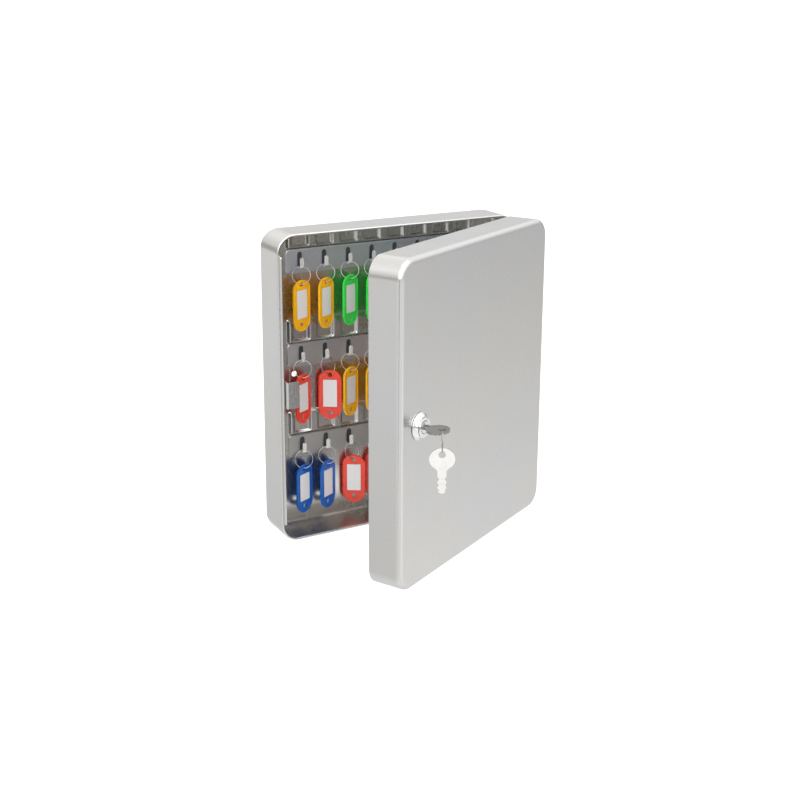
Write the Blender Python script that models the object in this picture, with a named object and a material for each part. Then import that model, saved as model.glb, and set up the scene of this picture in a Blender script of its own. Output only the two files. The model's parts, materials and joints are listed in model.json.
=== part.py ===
"""Wall key cabinet with a hinged door, hook rails, a cam lock and hanging key tags.

Frame: metres, +X right, +Y back towards the wall, +Z up, origin at the centre of the back face.
The case and everything in it stay still. The door and the lock stand at their opened rest pose:
they are modelled in the closed position and carried open by the empty on the hinge axis.
"""
import math

import bmesh
import bpy
from mathutils import Matrix, Vector

MM = 0.001

# Case and door, both drawn pans
WIDTH = 260.0 * MM
HEIGHT = 300.0 * MM
CASE_DEPTH = 41.0 * MM
DOOR_DEPTH = 34.0 * MM
SHEET = 1.2 * MM
CORNER_R = 18.0 * MM
CORNER_STEPS = 7
CASE_EDGE_R = 4.0 * MM
DOOR_EDGE_R = 5.0 * MM
RIM_THICK = 2.6 * MM
RIM_DEPTH = 3.0 * MM
LIP_STEP = 1.6 * MM
LIP_THICK = 2.0 * MM
LIP_LENGTH = 4.3 * MM
LIP_LAP = 0.4 * MM
LIP_CHAMFER = 1.5 * MM
SEAM_GAP = 0.3 * MM
DOOR_OPEN = math.radians(27.4)

# Gap that touching pieces keep
GAP = 0.3 * MM

# Hooks: three rails of eight
HOOK_PITCH = 25.7 * MM
HOOKS_PER_RAIL = 8
HOOK_X = [(i - (HOOKS_PER_RAIL - 1) / 2) * HOOK_PITCH for i in range(HOOKS_PER_RAIL)]
ROW_PITCH = 92.5 * MM
ROWS = {"top": 110.0 * MM, "middle": 110.0 * MM - ROW_PITCH, "bottom": 110.0 * MM - 2 * ROW_PITCH}
RAIL_HALF = 104.0 * MM
RAIL_BELOW = 5.5 * MM
RAIL_ABOVE = 17.0 * MM
RAIL_THICK = 1.2 * MM
RAIL_CORNER_R = 4.0 * MM
RAIL_FRONT = -(SHEET + GAP + RAIL_THICK)
SLOT_W = 5.0 * MM
SLOT_TOP = 15.0 * MM
SLOT_FOOT = 1.5 * MM
HOOK_W = 4.0 * MM
HOOK_THICK = 1.0 * MM
HOOK_REACH = 5.0 * MM
HOOK_BEND_R = 1.5 * MM
HOOK_TIP = 10.0 * MM
HOOK_ROOT = 1.5 * MM

# Pressed bands behind the rails, each with a row of pockets
BAND_RISE = 2.4 * MM
BEVEL_X = 3.1 * MM
BEVEL_Z = 2.2 * MM
BAND_HALF = 104.5 * MM
POCKET_W = 20.0 * MM
BAND_FOOT = 17.7 * MM
BAND_TOP = 42.5 * MM
POCKET_FOOT = 20.0 * MM
POCKET_TOP = 40.2 * MM
BAND_LIMIT = HEIGHT / 2 - 5.0 * MM
FIELD_HALF_W = WIDTH / 2 - 20.0 * MM
FIELD_HALF_H = BAND_LIMIT + 0.4 * MM
WALL_HOLE = (97.0 * MM, 5.0 * MM)
WALL_HOLE_R = 2.75 * MM
# raised seat for a screw's head round each wall hole: its span from the middle and its heights
SEAT_X = (90.0 * MM, BAND_HALF - BEVEL_X)
SEAT_Z = (-2.0 * MM, 11.0 * MM)
SEAT_RISE = 0.2 * MM
SEAT_SLOPE = 0.5 * MM

# Butt hinges outside the right wall
BARREL_R = 2.4 * MM
PIN_R = 1.1 * MM
HINGE_X = WIDTH / 2 + GAP + BARREL_R
HINGE_Z = 88.0 * MM
HINGE_LENGTH = 40.0 * MM
KNUCKLE_GAP = 0.4 * MM
PIN_HEAD_R = 1.87 * MM
PIN_HEAD = 0.8 * MM
LEAF_THICK = 1.0 * MM
LEAF_WIDTH = 14.0 * MM

# Strike bracket inside the left wall
STRIKE_H = 25.5 * MM
STRIKE_FRONT = -49.5 * MM
STRIKE_W = 12.5 * MM
STRIKE_THICK = 1.5 * MM
STRIKE_REAR = -14.0 * MM
STRIKE_JOG = -35.6 * MM
STRIKE_JOG_RUN = 1.8 * MM

# Cam lock, at mid height near the free edge of the door
LOCK_X = -101.0 * MM
BEZEL_R = 12.6 * MM
BEZEL_TOP_R = 9.4 * MM
BEZEL_H = 4.2 * MM
BODY_R = 8.0 * MM
HEAD_R = 9.1 * MM
HEAD_H = 1.2 * MM
PLUG_R = 5.6 * MM
PLUG_TAIL_R = 3.0 * MM
PLUG_PAST_BODY = 1.2 * MM
BODY_BEHIND_STRIKE = 0.5 * MM
CAM_BEHIND_STRIKE = 0.6 * MM
NUT_AF = 21.0 * MM
NUT_H = 4.0 * MM
CAM_THICK = 1.5 * MM
CAM_LENGTH = 18.0 * MM
CAM_W = 11.0 * MM
SCREW_R = 1.5 * MM
SCREW_HEAD_R = 4.2 * MM
SCREW_DOME_R = 2.4 * MM

# Keys, measured from the hole in the bow
KEY_THICK = 2.0 * MM
BOW_HALF_W = 11.2 * MM
BOW_HALF_L = 10.0 * MM
BOW_HOLE_R = 3.1 * MM
BOW_HOLE_IN = 5.8 * MM
KEY_LENGTH = 41.5 * MM
BLADE_HALF = 3.9 * MM
BLADE_TIP_HALF = 1.4 * MM
KEY_SEAT = 17.1 * MM
# cuts in both edges of the blade: middle, depth, half the flat and the ramp's length
KEY_CUTS = [
    (-22.3 * MM, 1.2 * MM, 0.7 * MM, 1.1 * MM),
    (-27.6 * MM, 0.9 * MM, 0.6 * MM, 1.1 * MM),
]
RING_R = 9.5 * MM
RING_WIRE = 0.6 * MM
RING_DROP = 7.4 * MM
RIM_CENTRE = 5.3 * MM
RING_TURN = math.radians(-29.0)

# Key tags and their split rings
TAG_W = 22.8 * MM
TAG_L = 50.0 * MM
TAG_DOME = 9.5 * MM
TAG_FOOT = 12.0 * MM
TAG_THICK = 2.2 * MM
TAG_HOLE_IN = 4.7 * MM
TAG_WIRE_RISE = 0.6 * MM
TAG_HOLE_R = 2.2 * MM
TAG_EYE_IN = 43.4 * MM
TAG_EYE_R = 2.3 * MM
LABEL_TOP = 9.4 * MM
LABEL_W = 14.2 * MM
LABEL_L = 28.2 * MM
LABEL_THICK = 0.4 * MM
LABEL_SINK = 0.8 * MM
TAG_RING_R = 8.7 * MM
TAG_WIRE = 0.5 * MM
TAG_SEAT_OUT = 0.15 * MM
# colour, turn of the tag, turn of its ring and outward lean of the ring, in degrees
TAGS = {
    "top": [("yellow", 23, -24, 27), ("yellow", 28, -24, 27), ("green", 27, -22, 27),
            ("green", 27, -23, 27)],
    "middle": [("red", 29, -22, 27), ("red", -32, 15, 17), ("yellow", 27, -22, 27),
               ("yellow", 24, -24, 27)],
    "bottom": [("blue", 25, -23, 27), ("blue", 28, -24, 27), ("red", -32, 15, 17),
               ("red", -31, 16, 17)],
}

COLOURS = {
    "steel_satin": ((0.62, 0.62, 0.60), 0.32, 1.0),
    "steel_rail": ((0.50, 0.52, 0.54), 0.30, 1.0),
    "zinc": ((0.66, 0.66, 0.64), 0.30, 1.0),
    "chrome": ((0.80, 0.80, 0.80), 0.10, 1.0),
    "nickel": ((0.72, 0.71, 0.68), 0.20, 1.0),
    "yellow": ((0.90, 0.46, 0.01), 0.35, 0.0),
    "green": ((0.02, 0.42, 0.06), 0.35, 0.0),
    "red": ((0.80, 0.06, 0.02), 0.35, 0.0),
    "blue": ((0.01, 0.10, 0.42), 0.35, 0.0),
    "paper": ((0.80, 0.77, 0.76), 0.60, 0.0),
}

FRONT = -CASE_DEPTH
DOOR_RIM = FRONT - SEAM_GAP
DOOR_FACE = FRONT - DOOR_DEPTH
LOCK = Vector((LOCK_X, 0.0, 0.0))


def clear_scene():
    for obj in list(bpy.data.objects):
        bpy.data.objects.remove(obj)


def material(name):
    found = bpy.data.materials.get(name)
    if found:
        return found
    colour, rough, metal = COLOURS[name]
    made = bpy.data.materials.new(name)
    made.use_nodes = True
    shader = made.node_tree.nodes["Principled BSDF"]
    shader.inputs["Base Color"].default_value = (*colour, 1.0)
    shader.inputs["Roughness"].default_value = rough
    shader.inputs["Metallic"].default_value = metal
    return made


def obj_from(name, mesh, mat, parent=None, matrix=None):
    obj = bpy.data.objects.new(name, mesh)
    bpy.context.scene.collection.objects.link(obj)
    if not mesh.materials:
        mesh.materials.append(None)
    obj.material_slots[0].link = "OBJECT"
    obj.material_slots[0].material = material(mat)
    if parent:
        obj.parent = parent
    if matrix:
        obj.matrix_local = matrix
    return obj


def empty(name, location, turn=0.0, parent=None):
    made = bpy.data.objects.new(name, None)
    bpy.context.scene.collection.objects.link(made)
    made.location = location
    made.rotation_euler = (0.0, 0.0, turn)
    made.parent = parent
    return made


def mesh_from(name, bm, smooth=35.0):
    bmesh.ops.recalc_face_normals(bm, faces=bm.faces)
    mesh = bpy.data.meshes.new(name)
    bm.to_mesh(mesh)
    bm.free()
    mesh.shade_smooth()
    mesh.set_sharp_from_angle(angle=math.radians(smooth))
    return mesh


def cut(obj, cutter, operation="DIFFERENCE"):
    mod = obj.modifiers.new(cutter.name, "BOOLEAN")
    mod.operation = operation
    mod.solver = "EXACT"
    mod.object = cutter
    cutter.hide_render = True
    cutter.display_type = "WIRE"


def bridge(bm, first, second):
    n = len(first)
    for i in range(n):
        j = (i + 1) % n
        bm.faces.new((first[i], first[j], second[j], second[i]))


def fill(bm, loops):
    edges = []
    for loop in loops:
        for i, vert in enumerate(loop):
            other = loop[(i + 1) % len(loop)]
            edges.append(bm.edges.get((vert, other)) or bm.edges.new((vert, other)))
    bmesh.ops.triangle_fill(bm, use_beauty=True, edges=edges)


def arc(cx, cz, r, start, end, steps):
    """Points on an arc, angles in degrees, both ends included."""
    points = []
    for i in range(steps + 1):
        a = math.radians(start + (end - start) * i / steps)
        points.append((cx + r * math.cos(a), cz + r * math.sin(a)))
    return points


def circle(cx, cz, r, steps, start=0.0):
    return arc(cx, cz, r, start, start + 360.0 * (steps - 1) / steps, steps - 1)


def rounded_rect(half_w, half_h, r, steps=CORNER_STEPS):
    points = []
    for sx, sz, start in ((1, 1, 0), (-1, 1, 90), (-1, -1, 180), (1, -1, 270)):
        points += arc(sx * (half_w - r), sz * (half_h - r), r, start, start + 90, steps)
    return points


def loop_at(bm, points, y):
    return [bm.verts.new((x, y, z)) for x, z in points]


def plate(bm, outline, holes, y_front, y_back):
    """A flat plate in the XZ plane with through holes."""
    front = [loop_at(bm, points, y_front) for points in [outline, *holes]]
    back = [loop_at(bm, points, y_back) for points in [outline, *holes]]
    for a, b in zip(front, back):
        bridge(bm, a, b)
    fill(bm, front)
    fill(bm, back)


def turned(bm, profile, steps, centre=(0.0, 0.0)):
    """Closed ring turned about an axis along Y. The profile is (radius, y) and goes round once."""
    rings = []
    for radius, y in profile:
        rings.append(loop_at(bm, circle(*centre, radius, steps), y))
    for i, ring in enumerate(rings):
        bridge(bm, ring, rings[(i + 1) % len(rings)])


def turned_solid(bm, profile, steps):
    """Solid of revolution about Y: the ends of the profile are closed by flat discs."""
    rings = [loop_at(bm, circle(0.0, 0.0, radius, steps), y) for radius, y in profile]
    for a, b in zip(rings, rings[1:]):
        bridge(bm, a, b)
    bm.faces.new(rings[0])
    bm.faces.new(rings[-1])


def torus(bm, major, minor, steps, sides):
    """Ring about the Y axis through the origin."""
    rings = []
    for i in range(steps):
        a = 2 * math.pi * i / steps
        ring = []
        for j in range(sides):
            b = 2 * math.pi * j / sides
            r = major + minor * math.cos(b)
            ring.append(bm.verts.new((r * math.sin(a), minor * math.sin(b), r * math.cos(a))))
        rings.append(ring)
    for i in range(steps):
        bridge(bm, rings[i], rings[(i + 1) % steps])


def pan_loops(bm, profile):
    """Loops of a drawn pan. Each profile entry is (inset from the outer wall, y)."""
    loops = []
    for inset, y in profile:
        r = max(CORNER_R - inset, 1.0 * MM)
        loops.append(loop_at(bm, rounded_rect(WIDTH / 2 - inset, HEIGHT / 2 - inset, r), y))
    for a, b in zip(loops, loops[1:]):
        bridge(bm, a, b)
    return loops[0], loops[-1]


def band_rows():
    """Each pressed band as (foot, pocket foot, pocket top, top) heights."""
    rows = []
    for z0 in ROWS.values():
        top = min(z0 + BAND_TOP, BAND_LIMIT)
        pocket_top = min(z0 + POCKET_TOP, top - BEVEL_Z)
        rows.append((z0 + BAND_FOOT, z0 + POCKET_FOOT, pocket_top, top))
    return rows


def band_height(x, z):
    """How far the pressed back stands forward at a point: a band less its pockets."""
    rise = 0.0
    for foot, pocket_foot, pocket_top, top in band_rows():
        edge = min((BAND_HALF - abs(x)) / BEVEL_X, (z - foot) / BEVEL_Z, (top - z) / BEVEL_Z)
        rise = max(rise, min(max(edge, 0.0), 1.0))
        for hx in HOOK_X:
            side = (POCKET_W / 2 - abs(x - hx)) / BEVEL_X
            inside = min(side, (z - pocket_foot) / BEVEL_Z, (pocket_top - z) / BEVEL_Z)
            if inside > 0.0:
                return BAND_RISE * (1.0 - min(inside, 1.0))
    return rise * BAND_RISE


def seat_height(x, z):
    """How far the screw seats stand forward at a point."""
    edge = min(abs(x) - SEAT_X[0], SEAT_X[1] - abs(x), z - SEAT_Z[0], SEAT_Z[1] - z)
    return SEAT_RISE * min(max(1.0 + edge / SEAT_SLOPE, 0.0), 1.0)


def pressed_sheet(bm, half_w, half_h):
    """The back's pressed field, front and rear skins, as two boundary loops."""
    xs = {-half_w, half_w}
    for side in (-1, 1):
        xs |= {side * BAND_HALF, side * SEAT_X[1], side * (SEAT_X[1] + SEAT_SLOPE)}
        xs |= {side * SEAT_X[0], side * (SEAT_X[0] - SEAT_SLOPE)}
    for hx in HOOK_X:
        for side in (-1, 1):
            xs |= {hx + side * POCKET_W / 2, hx + side * (POCKET_W / 2 - BEVEL_X)}
    zs = {-half_h, half_h, SEAT_Z[0] - SEAT_SLOPE, *SEAT_Z, SEAT_Z[1] + SEAT_SLOPE}
    for foot, pocket_foot, pocket_top, top in band_rows():
        zs |= {foot, foot + BEVEL_Z, pocket_foot, pocket_foot + BEVEL_Z}
        zs |= {pocket_top - BEVEL_Z, pocket_top, top - BEVEL_Z, top}
    xs = sorted({round(x, 6) for x in xs})
    zs = sorted({round(z, 6) for z in zs if -half_h <= z <= half_h})
    boundaries = []
    for y0 in (-SHEET, 0.0):
        grid = []
        for z in zs:
            rises = [band_height(x, z) + seat_height(x, z) for x in xs]
            grid.append([bm.verts.new((x, y0 - rise, z)) for x, rise in zip(xs, rises)])
        for i in range(len(zs) - 1):
            for j in range(len(xs) - 1):
                corners = (grid[i][j], grid[i][j + 1], grid[i + 1][j + 1], grid[i + 1][j])
                flat = len({round(v.co.y, 7) for v in corners}) == 1
                saddle = sum(v.co.y for v in corners[::2]) - sum(v.co.y for v in corners[1::2])
                if flat or abs(saddle) < 1e-7:
                    bm.faces.new(corners)
                else:
                    bm.faces.new(corners[:3])
                    bm.faces.new((corners[2], corners[3], corners[0]))
        edge = grid[0] + [row[-1] for row in grid[1:-1]]
        edge += grid[-1][::-1] + [row[0] for row in grid[1:-1]][::-1]
        boundaries.append(edge)
    return boundaries


def case_profile():
    """Outer wall, folded front rim and inner wall, each point as (inset, y)."""
    outer = [(CASE_EDGE_R + x, y - CASE_EDGE_R) for x, y in arc(0, 0, CASE_EDGE_R, 90, 180, 3)]
    nose = RIM_THICK / 2
    rim = [(nose + x, FRONT + nose + y) for x, y in arc(0, 0, nose, 180, 360, 4)]
    fold = [(RIM_THICK, FRONT + RIM_DEPTH), (SHEET, FRONT + RIM_DEPTH + 0.5 * MM)]
    inner_r = CASE_EDGE_R - SHEET
    inner = [(CASE_EDGE_R + x, y - CASE_EDGE_R) for x, y in arc(0, 0, inner_r, 180, 90, 3)]
    return outer + rim + fold + inner


def lip_flange():
    """Flange on the straight stretch of the left rim, stepped inward so the door closes over it."""
    near = -WIDTH / 2 + LIP_STEP
    far = near + LIP_THICK
    tip = FRONT - LIP_LENGTH
    nose = LIP_THICK / 2
    root = FRONT + RIM_DEPTH - LIP_LAP
    outline = [(far, root), (near, root)]
    outline += [(near + nose + x, tip + nose + y) for x, y in arc(0, 0, nose, 180, 360, 4)]
    reach = HEIGHT / 2 - CORNER_R
    bm = bmesh.new()
    ends = []
    for end in (-1, 1):
        ring = []
        for x, y in outline:
            chamfer = LIP_CHAMFER if y < FRONT - 1.0 * MM else 0.0
            ring.append(bm.verts.new((x, y, end * (reach - chamfer))))
        ends.append(ring)
    bridge(bm, *ends)
    for end in ends:
        fill(bm, [end])
    return obj_from("cut_lip_flange", mesh_from("cut_lip_flange", bm), "steel_satin")


def case_shell():
    bm = bmesh.new()
    back, inside = pan_loops(bm, case_profile())
    front_edge, rear_edge = pressed_sheet(bm, FIELD_HALF_W, FIELD_HALF_H)
    fill(bm, [inside, front_edge])
    fill(bm, [back, rear_edge])
    bmesh.ops.dissolve_limit(bm, angle_limit=math.radians(0.3), verts=bm.verts, edges=bm.edges)
    case = obj_from("case_shell", mesh_from("case_shell", bm, 30.0), "steel_satin")
    for side in (-1, 1):
        bm = bmesh.new()
        turned_solid(bm, [(WALL_HOLE_R, -5 * MM), (WALL_HOLE_R, 5 * MM)], 16)
        place = Matrix.Translation((side * WALL_HOLE[0], 0.0, WALL_HOLE[1]))
        hole = obj_from(f"cut_wall_hole_{side + 2}", mesh_from("cut_wall_hole", bm), "zinc",
                        matrix=place)
        cut(case, hole)
    cut(case, lip_flange(), "UNION")


def hook_outline():
    """Side view (y, z) of one lanced hook, from its root in the rail to its upright tip."""
    half = HOOK_THICK / 2
    root_y = RAIL_FRONT + RAIL_THICK / 2
    tip_y = RAIL_FRONT - HOOK_REACH
    first = (root_y - HOOK_BEND_R, -HOOK_BEND_R)
    second = (tip_y + HOOK_BEND_R, HOOK_BEND_R)
    outer_r = HOOK_BEND_R + half
    inner_r = HOOK_BEND_R - half
    upper = arc(*first, outer_r, 0, 90, 4) + arc(*second, inner_r, 270, 180, 3)
    lower = arc(*second, outer_r, 180, 270, 4) + arc(*first, inner_r, 90, 0, 3)
    tip = [(tip_y + half, HOOK_TIP - 0.3 * MM), (tip_y, HOOK_TIP), (tip_y - half, HOOK_TIP - 0.3 * MM)]
    foot = -HOOK_BEND_R - HOOK_ROOT
    return [(root_y + half, foot)] + upper + tip + lower + [(root_y - half, foot)]


def slot_outline(cx):
    half = SLOT_W / 2
    top = arc(cx, SLOT_TOP - half, half, 0, 180, 6)
    return [(cx + half, -SLOT_FOOT)] + top + [(cx - half, -SLOT_FOOT)]


def rail_mesh():
    bm = bmesh.new()
    outline = []
    for sx, z, start in ((1, RAIL_ABOVE, 0), (-1, RAIL_ABOVE, 90), (-1, -RAIL_BELOW, 180),
                         (1, -RAIL_BELOW, 270)):
        r = RAIL_CORNER_R
        cz = z - r if z > 0 else z + r
        outline += arc(sx * (RAIL_HALF - r), cz, r, start, start + 90, 3)
    plate(bm, outline, [slot_outline(x) for x in HOOK_X], RAIL_FRONT, RAIL_FRONT + RAIL_THICK)
    return mesh_from("hook_rail", bm)


def hooks_mesh():
    bm = bmesh.new()
    outline = hook_outline()
    for x in HOOK_X:
        sides = []
        for dx in (-HOOK_W / 2, HOOK_W / 2):
            sides.append([bm.verts.new((x + dx, y, z)) for y, z in outline])
            bm.faces.new(sides[-1])
        bridge(bm, *sides)
    return mesh_from("hooks", bm)


def hook_rails():
    rail = rail_mesh()
    hooks = hooks_mesh()
    for row, z in ROWS.items():
        place = Matrix.Translation((0.0, 0.0, z))
        strip = obj_from(f"hook_rail_{row}", rail, "steel_rail", matrix=place)
        lances = obj_from(f"cut_hooks_{row}", hooks, "steel_rail", matrix=place)
        cut(strip, lances, "UNION")


def strike_plate():
    """Bracket on the left wall: base, inward jog past the lip, and a front flange for the cam."""
    wall = -WIDTH / 2 + SHEET + GAP
    past_lip = -WIDTH / 2 + LIP_STEP + LIP_THICK + GAP
    t = STRIKE_THICK
    outer = [
        (wall, STRIKE_REAR),
        (wall, STRIKE_JOG + 0.6 * MM),
        (past_lip, STRIKE_JOG + 0.6 * MM - STRIKE_JOG_RUN),
        (past_lip, STRIKE_FRONT + 1.0 * MM),
        (past_lip + 1.0 * MM, STRIKE_FRONT),
        (past_lip + STRIKE_W, STRIKE_FRONT),
    ]
    inner = [
        (past_lip + STRIKE_W, STRIKE_FRONT + t),
        (past_lip + t, STRIKE_FRONT + t),
        (past_lip + t, STRIKE_JOG + 1.2 * MM - STRIKE_JOG_RUN),
        (wall + t, STRIKE_JOG + 1.2 * MM),
        (wall + t, STRIKE_REAR),
    ]
    bm = bmesh.new()
    ends = []
    for z in (-STRIKE_H / 2, STRIKE_H / 2):
        ends.append([bm.verts.new((x, y, z)) for x, y in outer + inner])
        bm.faces.new(ends[-1])
    bridge(bm, *ends)
    obj_from("strike_plate", mesh_from("strike_plate", bm), "zinc")


def knuckle_spans():
    """Heights of the three knuckles of a hinge: the outer two are the case leaf's."""
    third = HINGE_LENGTH / 3
    edges = [-HINGE_LENGTH / 2 + third * i for i in range(4)]
    half = KNUCKLE_GAP / 2
    return [(edges[0], edges[1] - half), (edges[1] + half, edges[2] - half), (edges[2] + half, edges[3])]


def knuckle(bm, low, high, side):
    """One barrel knuckle with its tab and stretch of leaf. The side is +1 for the case leaf."""
    steps = 14
    bore = PIN_R + GAP
    inner = -BARREL_R
    outer = -BARREL_R + LEAF_THICK
    touch = math.degrees(math.acos(1.0 - LEAF_THICK / BARREL_R))
    sweep = [180.0 * side - touch * side, 180.0 * side - 360.0 * side]
    barrel = arc(0, 0, BARREL_R, sweep[0], sweep[1], steps)
    far = side * LEAF_WIDTH
    outline = barrel + [(inner, far), (outer, far)]
    levels = []
    for z in (low, high):
        rim = [bm.verts.new((x, y, z)) for x, y in outline]
        hole = [bm.verts.new((x, y, z)) for x, y in circle(0, 0, bore, 12)]
        fill(bm, [rim, hole])
        levels.append((rim, hole))
    bridge(bm, levels[0][0], levels[1][0])
    bridge(bm, levels[0][1], levels[1][1])


def leaf_web(bm, low, high, side):
    """Flat stretch of leaf between knuckles, set back clear of the other leaf's barrel."""
    near = side * (BARREL_R + 0.5 * MM)
    far = side * LEAF_WIDTH
    x0, x1 = -BARREL_R, -BARREL_R + LEAF_THICK
    corners = [(x0, near), (x1, near), (x1, far), (x0, far)]
    ends = []
    for z in (low, high):
        ends.append([bm.verts.new((x, y, z)) for x, y in corners])
        bm.faces.new(ends[-1])
    bridge(bm, *ends)


def hinge_leaf(name, spans, webs, side, parent, place):
    bm = bmesh.new()
    for low, high in spans:
        knuckle(bm, low, high, side)
    leaf = obj_from(name, mesh_from(name, bm), "zinc", parent, place)
    bm = bmesh.new()
    for low, high in webs:
        leaf_web(bm, low, high, side)
    web = obj_from(f"cut_{name}", mesh_from(f"cut_{name}", bm), "zinc", parent, place)
    cut(leaf, web, "UNION")


def hinges(door):
    low, mid, high = knuckle_spans()
    lap = 0.5 * MM
    for name, z in (("upper", HINGE_Z), ("lower", -HINGE_Z)):
        at_hinge = Matrix.Translation((HINGE_X, FRONT, z))
        case_web = [(low[1] - lap, high[0] + lap)]
        hinge_leaf(f"{name}_hinge_case_leaf", [low, high], case_web, 1, None, at_hinge)
        door_webs = [(low[0], mid[0] + lap), (mid[1] - lap, high[1])]
        hinge_leaf(f"{name}_hinge_door_leaf", [mid], door_webs, -1, door,
                   Matrix.Translation((0, 0, z)))
        bm = bmesh.new()
        half = HINGE_LENGTH / 2 + GAP
        end = half + PIN_HEAD
        turned_solid(bm, [(PIN_HEAD_R, -end), (PIN_HEAD_R, -half), (PIN_R, -half),
                          (PIN_R, half), (PIN_HEAD_R, half), (PIN_HEAD_R, end)], 12)
        upright = at_hinge @ Matrix.Rotation(math.radians(90), 4, "X")
        obj_from(f"{name}_hinge_pin", mesh_from("hinge_pin", bm), "nickel", matrix=upright)


def door_shell(door):
    r = DOOR_EDGE_R
    outer = [(r + x, DOOR_FACE + r + y) for x, y in arc(0, 0, r, 270, 180, 4)]
    inner_r = r - SHEET
    inner = [(r + x, DOOR_FACE + r + y) for x, y in arc(0, 0, inner_r, 180, 270, 4)]
    bm = bmesh.new()
    face, inside = pan_loops(bm, outer + [(0.0, DOOR_RIM), (SHEET, DOOR_RIM)] + inner)
    holes = []
    for loop in (face, inside):
        hole = loop_at(bm, circle(LOCK.x, 0.0, BODY_R + GAP, 20), loop[0].co.y)
        fill(bm, [loop, hole])
        holes.append(hole)
    bridge(bm, *holes)
    obj_from("door_shell", mesh_from("door_shell", bm, 30.0), "steel_satin", door, door_local())


def door_local():
    """Places a piece given in closed-door world coordinates under the hinge empty."""
    return Matrix.Translation((-HINGE_X, -FRONT, 0.0))


def lock_depths():
    """Y of the lock's planes, door closed, from the front of the head to the rear of the body."""
    bezel_back = DOOR_FACE - GAP
    bezel_front = bezel_back - BEZEL_H
    head_back = bezel_front - GAP
    head_front = head_back - HEAD_H
    return bezel_back, bezel_front, head_back, head_front


def lock(door):
    bezel_back, bezel_front, head_back, head_front = lock_depths()
    body_back = STRIKE_FRONT + BODY_BEHIND_STRIKE
    tail_front = body_back + PLUG_PAST_BODY
    cam_front = STRIKE_FRONT + STRIKE_THICK + CAM_BEHIND_STRIKE
    cam_back = cam_front + CAM_THICK
    at_lock = door_local() @ Matrix.Translation(LOCK)
    bore = PLUG_R + GAP

    bm = bmesh.new()
    turned(bm, [(BODY_R + GAP, bezel_back), (BEZEL_R, bezel_back), (BEZEL_R, bezel_back - 0.8 * MM),
                (BEZEL_TOP_R, bezel_front), (BODY_R + GAP, bezel_front)], 28)
    obj_from("lock_bezel", mesh_from("lock_bezel", bm), "chrome", door, at_lock)

    bm = bmesh.new()
    turned(bm, [(bore, head_front), (HEAD_R - 0.5 * MM, head_front), (HEAD_R, head_front + 0.4 * MM),
                (HEAD_R, head_back), (BODY_R, head_back), (BODY_R, body_back), (bore, body_back)], 24)
    obj_from("lock_body", mesh_from("lock_body", bm), "chrome", door, at_lock)

    nut_front = DOOR_FACE + SHEET + GAP
    bm = bmesh.new()
    hexagon = circle(0.0, 0.0, NUT_AF / math.sqrt(3), 6)
    plate(bm, hexagon, [circle(0.0, 0.0, BODY_R + GAP, 24)], nut_front, nut_front + NUT_H)
    obj_from("lock_nut", mesh_from("lock_nut", bm), "zinc", door, at_lock)

    turn = empty("lock_axis", LOCK + Vector((-HINGE_X, -FRONT, 0.0)), parent=door)
    bm = bmesh.new()
    turned_solid(bm, [(PLUG_R - 0.4 * MM, head_front), (PLUG_R, head_front + 0.4 * MM),
                      (PLUG_R, tail_front), (PLUG_TAIL_R, tail_front), (PLUG_TAIL_R, cam_back)], 24)
    plug = obj_from("lock_plug", mesh_from("lock_plug", bm), "nickel", turn)
    key_tip = head_front - KEY_SEAT + KEY_LENGTH - BOW_HOLE_IN
    bm = bmesh.new()
    half_w = BLADE_HALF + GAP
    half_t = KEY_THICK / 2 + GAP
    plate(bm, [(-half_w, -half_t), (half_w, -half_t), (half_w, half_t), (-half_w, half_t)], [],
          head_front - 2 * MM, key_tip + 1.0 * MM)
    cut(plug, obj_from("cut_keyway", mesh_from("cut_keyway", bm), "nickel", turn))
    hole_r = SCREW_R + GAP
    bm = bmesh.new()
    turned_solid(bm, [(hole_r, cam_back - 7 * MM), (hole_r, cam_back + 2 * MM)], 12)
    cut(plug, obj_from("cut_screw_hole", mesh_from("cut_screw_hole", bm), "nickel", turn))

    bm = bmesh.new()
    cam_outline = arc(0.0, 0.0, CAM_W / 2, 0, 180, 8)
    cam_outline += arc(0.0, -CAM_LENGTH + CAM_W / 2, CAM_W / 2, 180, 360, 8)
    plate(bm, cam_outline, [circle(0.0, 0.0, PLUG_TAIL_R + GAP, 16)], cam_front, cam_back)
    obj_from("lock_cam", mesh_from("lock_cam", bm), "zinc", turn)

    bm = bmesh.new()
    head_y = cam_back + GAP
    turned_solid(bm, [(SCREW_R, cam_back - 6 * MM), (SCREW_R, head_y), (SCREW_HEAD_R, head_y),
                      (SCREW_HEAD_R, head_y + 1.2 * MM), (SCREW_DOME_R, head_y + 2.2 * MM)], 16)
    screw = obj_from("cam_screw", mesh_from("cam_screw", bm), "zinc", turn)
    bm = bmesh.new()
    cross = []
    for quarter in range(4):
        for x, z in ((0.5 * MM, 0.5 * MM), (0.5 * MM, 2.0 * MM), (-0.5 * MM, 2.0 * MM)):
            a = math.radians(90 * quarter)
            cross.append((x * math.cos(a) - z * math.sin(a), x * math.sin(a) + z * math.cos(a)))
    plate(bm, cross, [], head_y + 1.0 * MM, head_y + 4 * MM)
    cut(screw, obj_from("cut_screw_recess", mesh_from("cut_screw_recess", bm), "zinc", turn))
    return turn, head_front


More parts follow.
